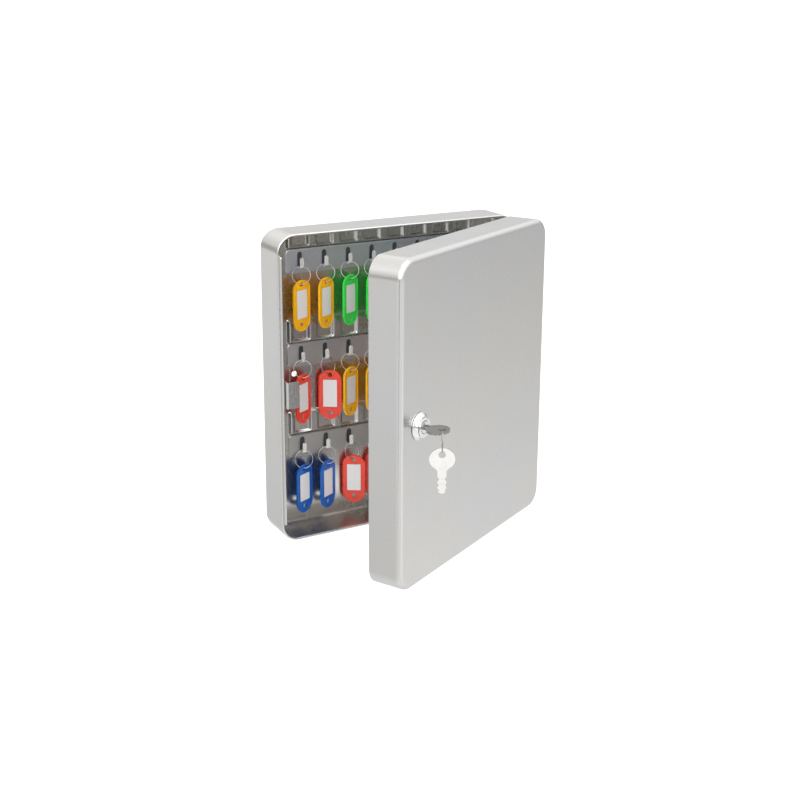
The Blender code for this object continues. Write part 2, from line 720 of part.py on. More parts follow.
def key_outline():
    """Flat key in the XZ plane, its bow's hole at the origin and its blade running down."""
    centre = -(BOW_HALF_L - BOW_HOLE_IN)
    bow = []
    for i in range(21):
        a = math.radians(-56 + 292 * i / 20)
        bow.append((BOW_HALF_W * math.cos(a), centre + BOW_HALF_L * math.sin(a)))
    tip = BOW_HOLE_IN - KEY_LENGTH
    side = [(BLADE_HALF, -15.5 * MM)]
    for middle, depth, flat, ramp in KEY_CUTS:
        side += [(BLADE_HALF, middle + flat + ramp), (BLADE_HALF - depth, middle + flat)]
        side += [(BLADE_HALF - depth, middle - flat), (BLADE_HALF, middle - flat - ramp)]
    side += [(BLADE_HALF, tip + 4.5 * MM), (BLADE_HALF - 1.1 * MM, tip + 3.5 * MM), (BLADE_TIP_HALF, tip)]
    left = [(-x, z) for x, z in side]
    right = [(x, z) for x, z in reversed(side)]
    return bow + left + right


def key_mesh():
    bm = bmesh.new()
    half = KEY_THICK / 2
    plate(bm, key_outline(), [circle(0.0, 0.0, BOW_HOLE_R, 16)], -half, half)
    return mesh_from("key", bm)


def keys(turn, head_front):
    """The key in the lock, the ring through its bow, and the spare key that hangs from the ring."""
    mesh = key_mesh()
    hole_y = head_front - KEY_SEAT
    seat = Matrix.Translation((0.0, hole_y, 0.0))
    obj_from("lock_key", mesh, "nickel", turn, seat @ Matrix.Rotation(math.radians(90), 4, "X"))
    facing = RING_TURN - DOOR_OPEN
    across = Vector((math.sin(facing), -math.cos(facing), 0.0))
    rim = Vector((0.0, hole_y, 0.0)) + across * RIM_CENTRE
    swing = empty("key_ring_axis", rim, facing, turn)
    bm = bmesh.new()
    torus(bm, RING_R, RING_WIRE, 24, 6)
    edge_on = Matrix.Translation((0.0, 0.0, -RING_DROP)) @ Matrix.Rotation(math.radians(90), 4, "Z")
    obj_from("key_ring", mesh_from("key_ring", bm), "nickel", swing, edge_on)
    wire_z = -RING_DROP - RING_R
    spare = empty("spare_key_axis", (0.0, 0.0, wire_z), 0.0, swing)
    drop = BOW_HOLE_R - RING_WIRE - GAP
    obj_from("spare_key", mesh, "nickel", spare, Matrix.Translation((0.0, 0.0, -drop)))


def tag_outline():
    """Key tag seen from the front, its top at z = 0: straight sides between two elliptic ends."""
    points = []
    for start, centre, rise in ((0, -TAG_DOME, TAG_DOME), (180, TAG_FOOT - TAG_L, TAG_FOOT)):
        for step in range(0, 181, 20):
            a = math.radians(start + step)
            points.append((TAG_W / 2 * math.cos(a), centre + rise * math.sin(a)))
    return points


def tag_mesh():
    bm = bmesh.new()
    half = TAG_THICK / 2
    floor = -half + LABEL_SINK
    holes = [circle(0.0, -TAG_HOLE_IN, TAG_HOLE_R, 12), circle(0.0, -TAG_EYE_IN, TAG_EYE_R, 10)]
    w = LABEL_W / 2
    window = [(w, -LABEL_TOP), (-w, -LABEL_TOP), (-w, -LABEL_TOP - LABEL_L), (w, -LABEL_TOP - LABEL_L)]
    front = [loop_at(bm, points, -half) for points in (tag_outline(), *holes)]
    back = [loop_at(bm, points, half) for points in (tag_outline(), *holes)]
    for a, b in zip(front, back):
        bridge(bm, a, b)
    mouth = loop_at(bm, window, -half)
    bottom = loop_at(bm, window, floor)
    bridge(bm, mouth, bottom)
    bm.faces.new(bottom)
    fill(bm, front + [mouth])
    fill(bm, back)
    return mesh_from("tag_frame", bm)


def label_mesh():
    bm = bmesh.new()
    w = LABEL_W / 2 - GAP
    top = -LABEL_TOP - GAP
    low = -LABEL_TOP - LABEL_L + GAP
    back = -TAG_THICK / 2 + LABEL_SINK - GAP / 2
    plate(bm, [(w, top), (-w, top), (-w, low), (w, low)], [], back - LABEL_THICK, back)
    return mesh_from("label", bm)


def tags():
    """Twelve tags on their rings, each set hung from an empty where its ring sits on the hook."""
    bm = bmesh.new()
    torus(bm, TAG_RING_R, TAG_WIRE, 18, 6)
    ring = mesh_from("tag_ring", bm)
    frame = tag_mesh()
    label = label_mesh()
    seat_y = RAIL_FRONT - HOOK_REACH / 2 - TAG_SEAT_OUT
    seat_z = HOOK_THICK / 2 + GAP + TAG_WIRE
    for row, z0 in ROWS.items():
        for column, (colour, tag_turn, ring_turn, ring_lean) in enumerate(TAGS[row], start=1):
            name = f"{row}_{column}"
            seat = (HOOK_X[column - 1], seat_y, z0 + seat_z)
            pivot = empty(f"tag_axis_{name}", seat, math.radians(ring_turn))
            lean = Matrix.Rotation(math.radians(-ring_lean), 4, "X")
            drop = Matrix.Translation((0.0, 0.0, -TAG_RING_R))
            obj_from(f"tag_ring_{name}", ring, "nickel", pivot, lean @ drop)
            low = lean @ Vector((0.0, 0.0, -2 * TAG_RING_R))
            top = TAG_HOLE_IN - TAG_WIRE_RISE
            stand = Matrix.Translation(low + Vector((0.0, 0.0, top)))
            stand = stand @ Matrix.Rotation(math.radians(tag_turn - ring_turn), 4, "Z")
            obj_from(f"tag_{name}", frame, colour, pivot, stand)
            obj_from(f"tag_label_{name}", label, "paper", pivot, stand)


def build():
    clear_scene()
    door = empty("door_axis", (HINGE_X, FRONT, 0.0), DOOR_OPEN)
    case_shell()
    hook_rails()
    strike_plate()
    hinges(door)
    door_shell(door)
    turn, head_front = lock(door)
    keys(turn, head_front)
    tags()


build()
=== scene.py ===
"""Looks of the key cabinet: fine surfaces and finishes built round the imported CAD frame."""

import json
import math

import bmesh
import bpy
from mathutils import Matrix, Vector


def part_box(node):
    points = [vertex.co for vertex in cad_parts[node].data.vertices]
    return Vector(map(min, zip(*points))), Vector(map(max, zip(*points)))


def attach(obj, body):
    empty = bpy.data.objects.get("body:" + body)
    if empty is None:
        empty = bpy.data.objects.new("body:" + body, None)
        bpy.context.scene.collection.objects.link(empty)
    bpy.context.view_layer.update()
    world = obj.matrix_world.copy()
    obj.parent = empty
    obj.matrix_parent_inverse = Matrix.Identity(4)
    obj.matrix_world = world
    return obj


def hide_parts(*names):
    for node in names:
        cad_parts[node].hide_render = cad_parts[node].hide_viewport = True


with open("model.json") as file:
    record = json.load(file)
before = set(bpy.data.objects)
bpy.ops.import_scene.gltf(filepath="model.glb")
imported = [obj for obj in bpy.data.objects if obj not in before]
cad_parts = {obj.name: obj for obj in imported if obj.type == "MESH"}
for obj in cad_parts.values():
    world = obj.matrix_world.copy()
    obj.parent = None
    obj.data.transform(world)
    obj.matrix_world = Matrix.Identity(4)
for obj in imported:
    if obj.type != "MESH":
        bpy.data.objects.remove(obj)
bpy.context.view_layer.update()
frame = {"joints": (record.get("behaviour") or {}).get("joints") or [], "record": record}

MM = 0.001
JOINTS = {joint["name"]: joint for joint in frame["joints"]}
SLOT_OF = {part["node"]: part["material_slot"] for part in frame["record"]["subparts"]}

# Case and door
CASE_LO, CASE_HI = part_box("case_shell")
WIDTH = CASE_HI.x - CASE_LO.x
HEIGHT = CASE_HI.z - CASE_LO.z
LIP_LENGTH = 4.3 * MM
FRONT = CASE_LO.y + LIP_LENGTH
DOOR_DEPTH = 34.0 * MM
SHEET = 1.2 * MM
GAP = 0.3 * MM
CORNER_R = 18.0 * MM
CORNER_STEPS = 16
CASE_EDGE_R = 4.0 * MM
DOOR_EDGE_R = 5.0 * MM
RIM_THICK = 2.6 * MM
RIM_DEPTH = 3.0 * MM
LIP_STEP = 1.6 * MM
LIP_THICK = 2.0 * MM
LIP_LAP = 0.4 * MM
DOOR_RIM = FRONT - GAP
DOOR_FACE = FRONT - DOOR_DEPTH
HINGE = Vector(JOINTS["door_hinge"]["pos_m"])
DOOR_OPEN = -math.radians(JOINTS["door_hinge"]["range_deg"][0])

# Hooks and the pressed back
HOOK_PITCH = 25.7 * MM
HOOK_X = [(i - 3.5) * HOOK_PITCH for i in range(8)]
RAIL_BELOW = 5.5 * MM
RAIL_ABOVE = 17.0 * MM
RAIL_THICK = 1.2 * MM
RAIL_HALF = 104.0 * MM
RAIL_CORNER_R = 4.0 * MM
RAIL_FRONT = -(SHEET + GAP + RAIL_THICK)
ROWS = {row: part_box(f"hook_rail_{row}")[0].z + RAIL_BELOW for row in ("top", "middle", "bottom")}
SLOT_W = 5.0 * MM
SLOT_TOP = 15.0 * MM
SLOT_FOOT = 1.5 * MM
HOOK_W = 4.0 * MM
HOOK_THICK = 1.0 * MM
HOOK_REACH = 5.0 * MM
HOOK_BEND_R = 1.5 * MM
HOOK_TIP = 10.0 * MM
HOOK_ROOT = 1.5 * MM
BAND_RISE = 2.4 * MM
BEVEL_X = 3.1 * MM
BEVEL_Z = 2.2 * MM
BAND_HALF = 104.5 * MM
POCKET_W = 20.0 * MM
BAND_FOOT = 17.7 * MM
BAND_TOP = 42.5 * MM
POCKET_FOOT = 20.0 * MM
POCKET_TOP = 40.2 * MM
BAND_LIMIT = HEIGHT / 2 - 5.0 * MM
FIELD_HALF_W = WIDTH / 2 - 20.0 * MM
FIELD_HALF_H = BAND_LIMIT + 0.4 * MM
WALL_HOLE = (97.0 * MM, 5.0 * MM)
WALL_HOLE_R = 2.75 * MM
SEAT_X = (90.0 * MM, BAND_HALF - BEVEL_X)
SEAT_Z = (-2.0 * MM, 11.0 * MM)
SEAT_RISE = 0.2 * MM
SEAT_SLOPE = 0.5 * MM

# Hinges and strike
BARREL_R = 2.4 * MM
PIN_R = 1.1 * MM
LEAF_THICK = 1.0 * MM
LEAF_WIDTH = 14.0 * MM
KNUCKLE_GAP = 0.4 * MM
PIN_HEAD = 0.8 * MM
STRIKE_H = 25.5 * MM
STRIKE_FRONT = -49.5 * MM
STRIKE_W = 12.5 * MM
STRIKE_THICK = 1.5 * MM
STRIKE_REAR = -14.0 * MM
STRIKE_BEND_R = 1.6 * MM

# Lock and keys
LOCK_X = -101.0 * MM
BEZEL_R = 12.6 * MM
BEZEL_TOP_R = 9.4 * MM
BEZEL_H = 4.2 * MM
BODY_R = 8.0 * MM
HEAD_R = 9.1 * MM
HEAD_H = 1.2 * MM
PLUG_R = 5.6 * MM
PLUG_TAIL_R = 3.0 * MM
PLUG_PAST_BODY = 1.2 * MM
BODY_BEHIND_STRIKE = 0.5 * MM
CAM_BEHIND_STRIKE = 0.6 * MM
THREAD_TURNS = 14
THREAD_DEEP = 0.35 * MM
SCREW_R = 1.5 * MM
SCREW_HEAD_R = 4.2 * MM
NUT_AF = 21.0 * MM
NUT_H = 4.0 * MM
CAM_THICK = 1.5 * MM
CAM_LENGTH = 18.0 * MM
CAM_W = 11.0 * MM
KEY_SEAT = 17.1 * MM
KEY_THICK = 2.0 * MM
BOW_HALF_W = 11.2 * MM
BOW_HALF_L = 10.0 * MM
BOW_HOLE_R = 3.1 * MM
BOW_HOLE_IN = 5.8 * MM
KEY_LENGTH = 41.5 * MM
BLADE_HALF = 3.9 * MM
# cuts in both edges of the blade: middle, depth and half width
KEY_CUTS = [
    (-22.3 * MM, 1.2 * MM, 1.4 * MM),
    (-27.6 * MM, 0.9 * MM, 1.2 * MM),
    (-32.4 * MM, 1.1 * MM, 1.3 * MM),
]
KEY_GROOVE_HALF_L = 12.5 * MM
KEY_GROOVE_IN = 25.0 * MM
KEY_GROOVE_DEEP = 0.45 * MM
RING_R = 9.5 * MM
RING_WIRE = 0.6 * MM
KEY_RING_WIRE = 0.5 * MM
RING_DROP = 7.4 * MM

# Tags and their rings: turn of the tag, turn of its ring, lean of the ring, in degrees
TAG_W = 22.8 * MM
TAG_L = 50.0 * MM
TAG_THICK = 2.2 * MM
TAG_DOME = 9.5 * MM
TAG_FOOT = 12.0 * MM
TAG_HOLE_IN = 4.7 * MM
TAG_HOLE_R = 2.2 * MM
TAG_EYE_IN = 43.4 * MM
TAG_EYE_R = 2.3 * MM
LABEL_TOP = 9.4 * MM
LABEL_W = 14.2 * MM
LABEL_L = 28.2 * MM
LABEL_THICK = 0.4 * MM
LABEL_SINK = 0.8 * MM
TAG_RING_R = 8.7 * MM
TAG_WIRE = 0.5 * MM
TAG_WIRE_RISE = 0.6 * MM
TAG_ANGLES = {
    "top": [(23, -24, 27), (28, -24, 27), (27, -22, 27), (27, -23, 27)],
    "middle": [(29, -22, 27), (-32, 15, 17), (27, -22, 27), (24, -24, 27)],
    "bottom": [(25, -23, 27), (28, -24, 27), (-32, 15, 17), (-31, 16, 17)],
}

# The rails stand in the shade of the door, painted into their colour: least at the top, most at the bottom,
# with a painted bluish reflection on the top rail
RAIL_PAINTED_SHADE_AND_BLUE = [(0.0, (0.66, 0.655, 0.65)), (0.5, (0.90, 0.90, 0.90)), (0.9, (0.90, 0.97, 1.10))]

# Patches of the room: azimuth and elevation, level, then radius and fade, in degrees
PATCHES = [
    (226.0, -7.0, 0.36, 9.0, 6.0),
    (297.0, -15.0, 1.35, 9.0, 7.0),
    (242.0, -24.0, 1.15, 9.0, 6.0),
]

DOOR = Matrix.Translation(HINGE) @ Matrix.Rotation(DOOR_OPEN, 4, "Z") @ Matrix.Translation(-HINGE)


# ---------------------------------------------------------------- camera, light, floor

def camera():
    data = bpy.data.cameras.new("camera")
    data.lens = 57.03
    data.sensor_width = 36.0
    data.shift_y = -0.1
    data.clip_end = 20.0
    obj = bpy.data.objects.new("camera", data)
    bpy.context.scene.collection.objects.link(obj)
    yaw, pitch, roll = math.radians(-29.17), math.radians(90.0 - 14.5), math.radians(0.3)
    turn = Matrix.Rotation(yaw, 4, "Z") @ Matrix.Rotation(pitch, 4, "X") @ Matrix.Rotation(roll, 4, "Z")
    obj.matrix_world = Matrix.Translation((-0.58037, -1.07688, 0.36316)) @ turn
    bpy.context.scene.camera = obj


def area_light(name, place, target, size, power, colour=(1.0, 1.0, 1.0)):
    data = bpy.data.lights.new(name, "AREA")
    data.shape = "RECTANGLE"
    data.size, data.size_y = size
    data.energy = power
    data.color = colour
    obj = bpy.data.objects.new(name, data)
    bpy.context.scene.collection.objects.link(obj)
    obj.location = place
    obj.rotation_euler = (Vector(target) - Vector(place)).to_track_quat("-Z", "Y").to_euler()


def spot(tree, direction, azimuth, elevation, level, radius, fade):
    """Level inside a round patch of the room, 1 outside it. Angles in degrees."""
    a, e = math.radians(azimuth), math.radians(elevation)
    toward = tree.add("ShaderNodeVectorMath", Vector=direction)
    toward.operation = "DOT_PRODUCT"
    toward.inputs[1].default_value = (math.cos(e) * math.cos(a), math.cos(e) * math.sin(a), math.sin(e))
    near, far = math.cos(math.radians(radius)), math.cos(math.radians(radius + fade))
    return tree.remap(toward.outputs["Value"], 1.0, level, far, near)


def studio_sky():
    """Soft white room: paler overhead, deeper at the horizon, one dim corner and two bright patches."""
    world = bpy.data.worlds.new("studio")
    bpy.context.scene.world = world
    world.use_nodes = True
    tree = Tree(world.node_tree)
    tree.tree.nodes.clear()
    out = tree.add("ShaderNodeOutputWorld")
    coord = tree.add("ShaderNodeTexCoord")
    split = tree.add("ShaderNodeSeparateXYZ", Vector=coord.outputs["Generated"])
    height = tree.remap(split.outputs["Z"], 0.0, 1.0, -1.0, 1.0)
    right = tree.grey_ramp(height, [(0.0, 0.95), (0.28, 1.02), (0.42, 0.65), (0.52, 0.64), (0.63, 0.88),
                                    (0.76, 1.4), (1.0, 1.1)])
    left = tree.grey_ramp(height, [(0.0, 1.1), (0.22, 0.85), (0.28, 0.78), (0.425, 1.08), (0.455, 0.50),
                                   (0.54, 0.42), (0.585, 1.1), (0.63, 0.92), (0.76, 1.4), (1.0, 1.1)])
    side = tree.remap(split.outputs["X"], 0.0, 1.0, -0.35, 0.35)
    sky = tree.mix(side, left, right)
    level = tree.remap(split.outputs["Y"], 1.10, 0.92, -0.35, 0.10)
    for patch in PATCHES:
        level = tree.math("MULTIPLY", level, spot(tree, coord.outputs["Generated"], *patch))
    lit = tree.add("ShaderNodeBackground", Color=tree.mix(1.0, sky, tree.grey(level), "MULTIPLY"))
    seen = tree.add("ShaderNodeBackground")
    seen.inputs["Color"].default_value = (1.0, 1.0, 1.0, 1.0)
    seen.inputs["Strength"].default_value = 1.1
    path = tree.add("ShaderNodeLightPath")
    mix = tree.add("ShaderNodeMixShader")
    tree.tree.links.new(path.outputs["Is Camera Ray"], mix.inputs[0])
    tree.tree.links.new(lit.outputs[0], mix.inputs[1])
    tree.tree.links.new(seen.outputs[0], mix.inputs[2])
    tree.tree.links.new(mix.outputs[0], out.inputs["Surface"])


def studio():
    studio_sky()
    bpy.context.scene.view_settings.view_transform = "Standard"
    area_light("key", (-1.0, -1.85, 1.3), (0.0, -0.05, 0.0), (3.0, 2.3), 26.0, (1.0, 0.99, 0.975))
    area_light("top", (0.1, -0.5, 2.0), (0.0, -0.05, 0.0), (1.8, 1.4), 14.0)

    bm = bmesh.new()
    fan = [bm.verts.new((14 * math.cos(a), 14 * math.sin(a), 0.0)) for a in
           (2 * math.pi * i / 128 for i in range(128))]
    bm.faces.new(fan)
    mesh = bpy.data.meshes.new("floor")
    bm.to_mesh(mesh)
    bm.free()
    floor = bpy.data.objects.new("floor", mesh)
    bpy.context.scene.collection.objects.link(floor)
    floor.location = (0.0, 0.0, -0.62)
    floor.visible_glossy = False
    mesh.materials.append(floor_material())


# ---------------------------------------------------------------- materials

class Tree:
    """Small helper to lay out shader nodes."""

    def __init__(self, tree):
        self.tree = tree

    def add(self, kind, **links):
        node = self.tree.nodes.new(kind)
        for name, source in links.items():
            self.tree.links.new(source, node.inputs[name.replace("_", " ")])
        return node

    def stretched(self, scale):
        """Object coordinates stretched by a scale for each axis."""
        coord = self.add("ShaderNodeTexCoord")
        mapping = self.add("ShaderNodeMapping", Vector=coord.outputs["Object"])
        mapping.inputs["Scale"].default_value = scale
        return mapping.outputs["Vector"]

    def noise(self, scale, detail=3.0, rough=0.5, vector=None):
        node = self.add("ShaderNodeTexNoise")
        if vector is None:
            vector = self.stretched((1.0, 1.0, 1.0))
        self.tree.links.new(vector, node.inputs["Vector"])
        node.inputs["Scale"].default_value = scale
        node.inputs["Detail"].default_value = detail
        node.inputs["Roughness"].default_value = rough
        return node.outputs["Fac"]

    def ramp(self, value, stops):
        node = self.add("ShaderNodeValToRGB", Fac=value)
        elements = node.color_ramp.elements
        while len(elements) < len(stops):
            elements.new(0.5)
        for element, (place, colour) in zip(elements, stops):
            element.position = place
            element.color = (*colour, 1.0)
        return node.outputs["Color"]

    def grey_ramp(self, value, stops):
        return self.ramp(value, [(place, (level,) * 3) for place, level in stops])

    def grey(self, level):
        return self.add("ShaderNodeCombineColor", Red=level, Green=level, Blue=level).outputs["Color"]

    def remap(self, value, low, high, from_low=0.0, from_high=1.0):
        node = self.add("ShaderNodeMapRange", Value=value)
        node.inputs["From Min"].default_value = from_low
        node.inputs["From Max"].default_value = from_high
        node.inputs["To Min"].default_value = low
        node.inputs["To Max"].default_value = high
        return node.outputs["Result"]

    def math(self, operation, first, second):
        node = self.add("ShaderNodeMath")
        node.operation = operation
        for index, value in enumerate((first, second)):
            if isinstance(value, (int, float)):
                node.inputs[index].default_value = value
            else:
                self.tree.links.new(value, node.inputs[index])
        return node.outputs[0]

    def mix(self, factor, first, second, blend="MIX"):
        node = self.add("ShaderNodeMix")
        node.data_type = "RGBA"
        node.blend_type = blend
        for index, value in ((0, factor), (6, first), (7, second)):
            if isinstance(value, (int, float)):
                node.inputs[index].default_value = value
            elif isinstance(value, tuple):
                node.inputs[index].default_value = (*value, 1.0)
            else:
                self.tree.links.new(value, node.inputs[index])
        return node.outputs[2]

    def bump(self, height, strength, distance, after=None):
        node = self.add("ShaderNodeBump", Height=height)
        node.inputs["Strength"].default_value = strength
        node.inputs["Distance"].default_value = distance
        if after is not None:
            self.tree.links.new(after, node.inputs["Normal"])
        return node.outputs["Normal"]


def principled(name, metallic=0.0, **fixed):
    """A new material and its shader. Values that are the same all over are set on the sockets."""
    material = bpy.data.materials.new(name)
    material.use_nodes = True
    tree = Tree(material.node_tree)
    shader = material.node_tree.nodes["Principled BSDF"]
    shader.inputs["Metallic"].default_value = metallic
    for socket, value in fixed.items():
        shader.inputs[socket.replace("_", " ")].default_value = value
    return material, tree, shader


def shade(tree, shader, colour=None, rough=None, normal=None):
    for socket, source in (("Base Color", colour), ("Roughness", rough), ("Normal", normal)):
        if source is not None:
            tree.tree.links.new(source, shader.inputs[socket])


def floor_material():
    material, tree, shader = principled("studio_floor", Emission_Strength=0.3)
    shader.inputs["Emission Color"].default_value = (1.0, 1.0, 1.0, 1.0)
    cloud = tree.noise(0.8, 2.0)
    shade(tree, shader, tree.ramp(cloud, [(0.3, (0.90, 0.90, 0.90)), (0.7, (0.93, 0.93, 0.925))]))
    shader.inputs["Roughness"].default_value = 0.7
    return material


def brushed_steel(name, tint, rough=0.27, grain=(900.0, 900.0, 14.0), streak=0.010, levels=None):
    """Satin rolled sheet: fine grain one way, slow waves of the pressed sheet, faint smudges; given levels,
    painted shade and reflection by height.
    """
    material, tree, shader = principled(name, 1.0)
    fine = tree.noise(1.0, 3.0, 0.6, tree.stretched(grain))
    broad = tree.noise(1.0, 2.0, 0.5, tree.stretched((45.0, 45.0, 2.0)))
    cloud = tree.noise(9.0, 2.0, 0.5)
    smudge = tree.noise(26.0, 4.0, 0.55)
    warm = tuple(c * f for c, f in zip(tint, (1.012, 1.0, 0.978)))
    cool = tuple(c * f for c, f in zip(tint, (0.985, 0.995, 1.012)))
    tone = tree.ramp(cloud, [(0.36, cool), (0.64, warm)])
    # Painted shade and reflection: the colour is multiplied by a ramp over height, from the bottom row to
    # the top row
    if levels:
        split = tree.add("ShaderNodeSeparateXYZ", Vector=tree.stretched((1.0, 1.0, 1.0)))
        height = tree.remap(split.outputs["Z"], 0.0, 1.0, ROWS["bottom"], ROWS["top"])
        tone = tree.mix(1.0, tone, tree.ramp(height, levels), "MULTIPLY")
    lines = tree.remap(fine, 1.0 - streak, 1.0 + streak)
    bands = tree.remap(broad, 0.988, 1.012)
    colour = tree.mix(1.0, tone, tree.grey(tree.math("MULTIPLY", lines, bands)), "MULTIPLY")
    soft = tree.remap(smudge, rough - 0.015, rough + 0.04, 0.35, 0.75)
    roughness = tree.math("ADD", soft, tree.remap(fine, -0.015, 0.015))
    normal = tree.bump(fine, 0.02, 0.00003, tree.bump(tree.noise(5.0, 1.0, 0.4), 0.06, 0.001))
    shade(tree, shader, colour, roughness, normal)
    return material


def plated(name, tint, rough, mottle=0.03, scale=260.0, metallic=1.0):
    """Zinc or nickel plating: small cloudy spangle, fine random scratches."""
    material, tree, shader = principled(name, metallic)
    cells = tree.add("ShaderNodeTexVoronoi", Vector=tree.stretched((1.0, 1.0, 1.0)))
    cells.inputs["Scale"].default_value = scale
    cloud = tree.noise(90.0, 4.0, 0.6)
    dark = tuple(c * (1.0 - mottle) for c in tint)
    light = tuple(min(c * (1.0 + mottle), 1.0) for c in tint)
    colour = tree.ramp(cloud, [(0.35, dark), (0.65, light)])
    scratch = tree.noise(1.0, 3.0, 0.7, tree.stretched((900.0, 500.0, 60.0)))
    roughness = tree.math("ADD", tree.remap(cloud, rough - 0.04, rough + 0.06),
                          tree.remap(scratch, -0.03, 0.04))
    normal = tree.bump(scratch, 0.10, 0.00004, tree.bump(cells.outputs["Distance"], 0.03, 0.00006))
    shade(tree, shader, colour, roughness, normal)
    return material


def chrome(name, tint=(0.84, 0.84, 0.85), rough=0.07):
    """Polished plating with hairline scratches and the odd dull patch."""
    material, tree, shader = principled(name, 1.0)
    hair = tree.noise(1.0, 5.0, 0.75, tree.stretched((700.0, 1500.0, 700.0)))
    patch = tree.noise(120.0, 3.0)
    roughness = tree.math("ADD", tree.remap(patch, rough - 0.02, rough + 0.04),
                          tree.remap(hair, -0.015, 0.03))
    colour = tree.ramp(patch, [(0.3, tuple(c * 0.97 for c in tint)), (0.7, tint)])
    shade(tree, shader, colour, roughness, tree.bump(hair, 0.06, 0.00003))
    return material


def moulded_plastic(name, tint):
    """Semi-gloss moulding: slight tone drift, fine orange-peel and scuffed high spots."""
    material, tree, shader = principled(name, 0.0, IOR=1.49, Coat_Weight=0.12, Coat_Roughness=0.18,
                                        Subsurface_Weight=0.45, Subsurface_Scale=0.003)
    shader.inputs["Subsurface Radius"].default_value = (1.0, 0.9, 0.8)
    drift = tree.noise(70.0, 3.0)
    dark = tuple(c * 0.86 for c in tint)
    light = tuple(min(c * 1.08 + 0.004, 1.0) for c in tint)
    peel = tree.noise(1600.0, 2.0)
    scuff = tree.noise(420.0, 5.0, 0.7)
    roughness = tree.math("ADD", tree.remap(drift, 0.26, 0.34), tree.remap(scuff, 0.0, 0.12, 0.5, 0.8))
    colour = tree.ramp(drift, [(0.3, dark), (0.7, light)])
    shade(tree, shader, colour, roughness, tree.bump(peel, 0.12, 0.00006))
    return material


def card(name, tint):
    """Paper label: fibres, a faint tone drift, matt with a slight sheen."""
    material, tree, shader = principled(name, 0.0, Coat_Weight=0.35, Coat_Roughness=0.12)
    fibre = tree.noise(1.0, 4.0, 0.7, tree.stretched((2600.0, 2600.0, 1100.0)))
    drift = tree.noise(60.0, 3.0)
    base = tree.ramp(drift, [(0.3, tuple(c * 0.96 for c in tint)), (0.7, tint)])
    colour = tree.mix(1.0, base, tree.grey(tree.remap(fibre, 0.96, 1.03)), "MULTIPLY")
    shade(tree, shader, colour, tree.remap(fibre, 0.5, 0.62), tree.bump(fibre, 0.2, 0.00005))
    return material


def finishes():
    """A material for each of the record's slots, and for hooks, the painted shade in the rail gaps and the
    lock's key painted darker.
    """
    made = {
        "case_steel": brushed_steel("case_steel", (0.66, 0.655, 0.64), 0.27),
        "door_steel": brushed_steel("door_steel", (0.66, 0.655, 0.64), 0.27),
        # The rails' colour carries painted shade, darker towards the bottom, and a painted bluish
        # reflection at the top
        "rail_steel": brushed_steel("rail_steel", (0.92, 0.92, 0.91), 0.30, (14.0, 900.0, 900.0),
                                    levels=RAIL_PAINTED_SHADE_AND_BLUE),
        "hook_steel": plated("hook_steel", (0.86, 0.86, 0.85), 0.24, metallic=0.45),
        # Painted shade: a near-black copy of the rail steel for the sheet in the gaps behind the rails
        "rail_shade": brushed_steel("rail_shade", (0.14, 0.145, 0.15), 0.5, (14.0, 900.0, 900.0)),
        "zinc_steel": plated("zinc_steel", (0.64, 0.64, 0.63), 0.26),
        "lock_chrome": chrome("lock_chrome"),
        "key_nickel": plated("key_nickel", (0.88, 0.865, 0.84), 0.15, 0.05, 420.0),
        # The lock's key: the same nickel, rougher and more mottled, and painted darker as a painted dark
        # reflection
        "key_nickel_painted_dark": plated("key_nickel_painted_dark", (0.33, 0.315, 0.30), 0.26, 0.08, 420.0),
        "ring_wire": chrome("ring_wire", (0.46, 0.455, 0.44), 0.15),
        "label_card": card("label_card", (0.73, 0.705, 0.705)),
    }
    tints = {"tag_yellow": (0.93, 0.45, 0.004), "tag_green": (0.035, 0.68, 0.07),
             "tag_red": (0.80, 0.052, 0.024), "tag_blue": (0.003, 0.105, 0.46)}
    for slot, tint in tints.items():
        made[slot] = moulded_plastic(slot, tint)
    return made


# ---------------------------------------------------------------- mesh helpers

def arc(cx, cz, r, start, end, steps):
    """Points on an arc, angles in degrees, both ends included."""
    points = []
    for i in range(steps + 1):
        a = math.radians(start + (end - start) * i / steps)
        points.append((cx + r * math.cos(a), cz + r * math.sin(a)))
    return points


def circle(cx, cz, r, steps):
    return arc(cx, cz, r, 0.0, 360.0 * (steps - 1) / steps, steps - 1)


def rounded_rect(half_w, half_h, r, steps=CORNER_STEPS, centre_z=0.0):
    points = []
    for sx, sz, start in ((1, 1, 0), (-1, 1, 90), (-1, -1, 180), (1, -1, 270)):
        points += arc(sx * (half_w - r), centre_z + sz * (half_h - r), r, start, start + 90, steps)
    return points


def loop_at(bm, points, y):
    return [bm.verts.new((x, y, z)) for x, z in points]


def bridge(bm, first, second):
    n = len(first)
    for i in range(n):
        j = (i + 1) % n
        bm.faces.new((first[i], first[j], second[j], second[i]))


def fill(bm, loops):
    edges = []
    for loop in loops:
        for i, vert in enumerate(loop):
            other = loop[(i + 1) % len(loop)]
            edges.append(bm.edges.get((vert, other)) or bm.edges.new((vert, other)))
    bmesh.ops.triangle_fill(bm, use_beauty=True, edges=edges)


def plate(bm, outline, holes, y_front, y_back):
    """A flat plate in the XZ plane with through holes."""
    front = [loop_at(bm, points, y_front) for points in [outline, *holes]]
    back = [loop_at(bm, points, y_back) for points in [outline, *holes]]
    for a, b in zip(front, back):
        bridge(bm, a, b)
    fill(bm, front)
    fill(bm, back)


def turned(bm, profile, steps=72):
    """Closed ring turned about Y. The profile is (radius, y) and goes round once."""
    rings = [loop_at(bm, circle(0.0, 0.0, radius, steps), y) for radius, y in profile]
    for i, ring in enumerate(rings):
        bridge(bm, ring, rings[(i + 1) % len(rings)])


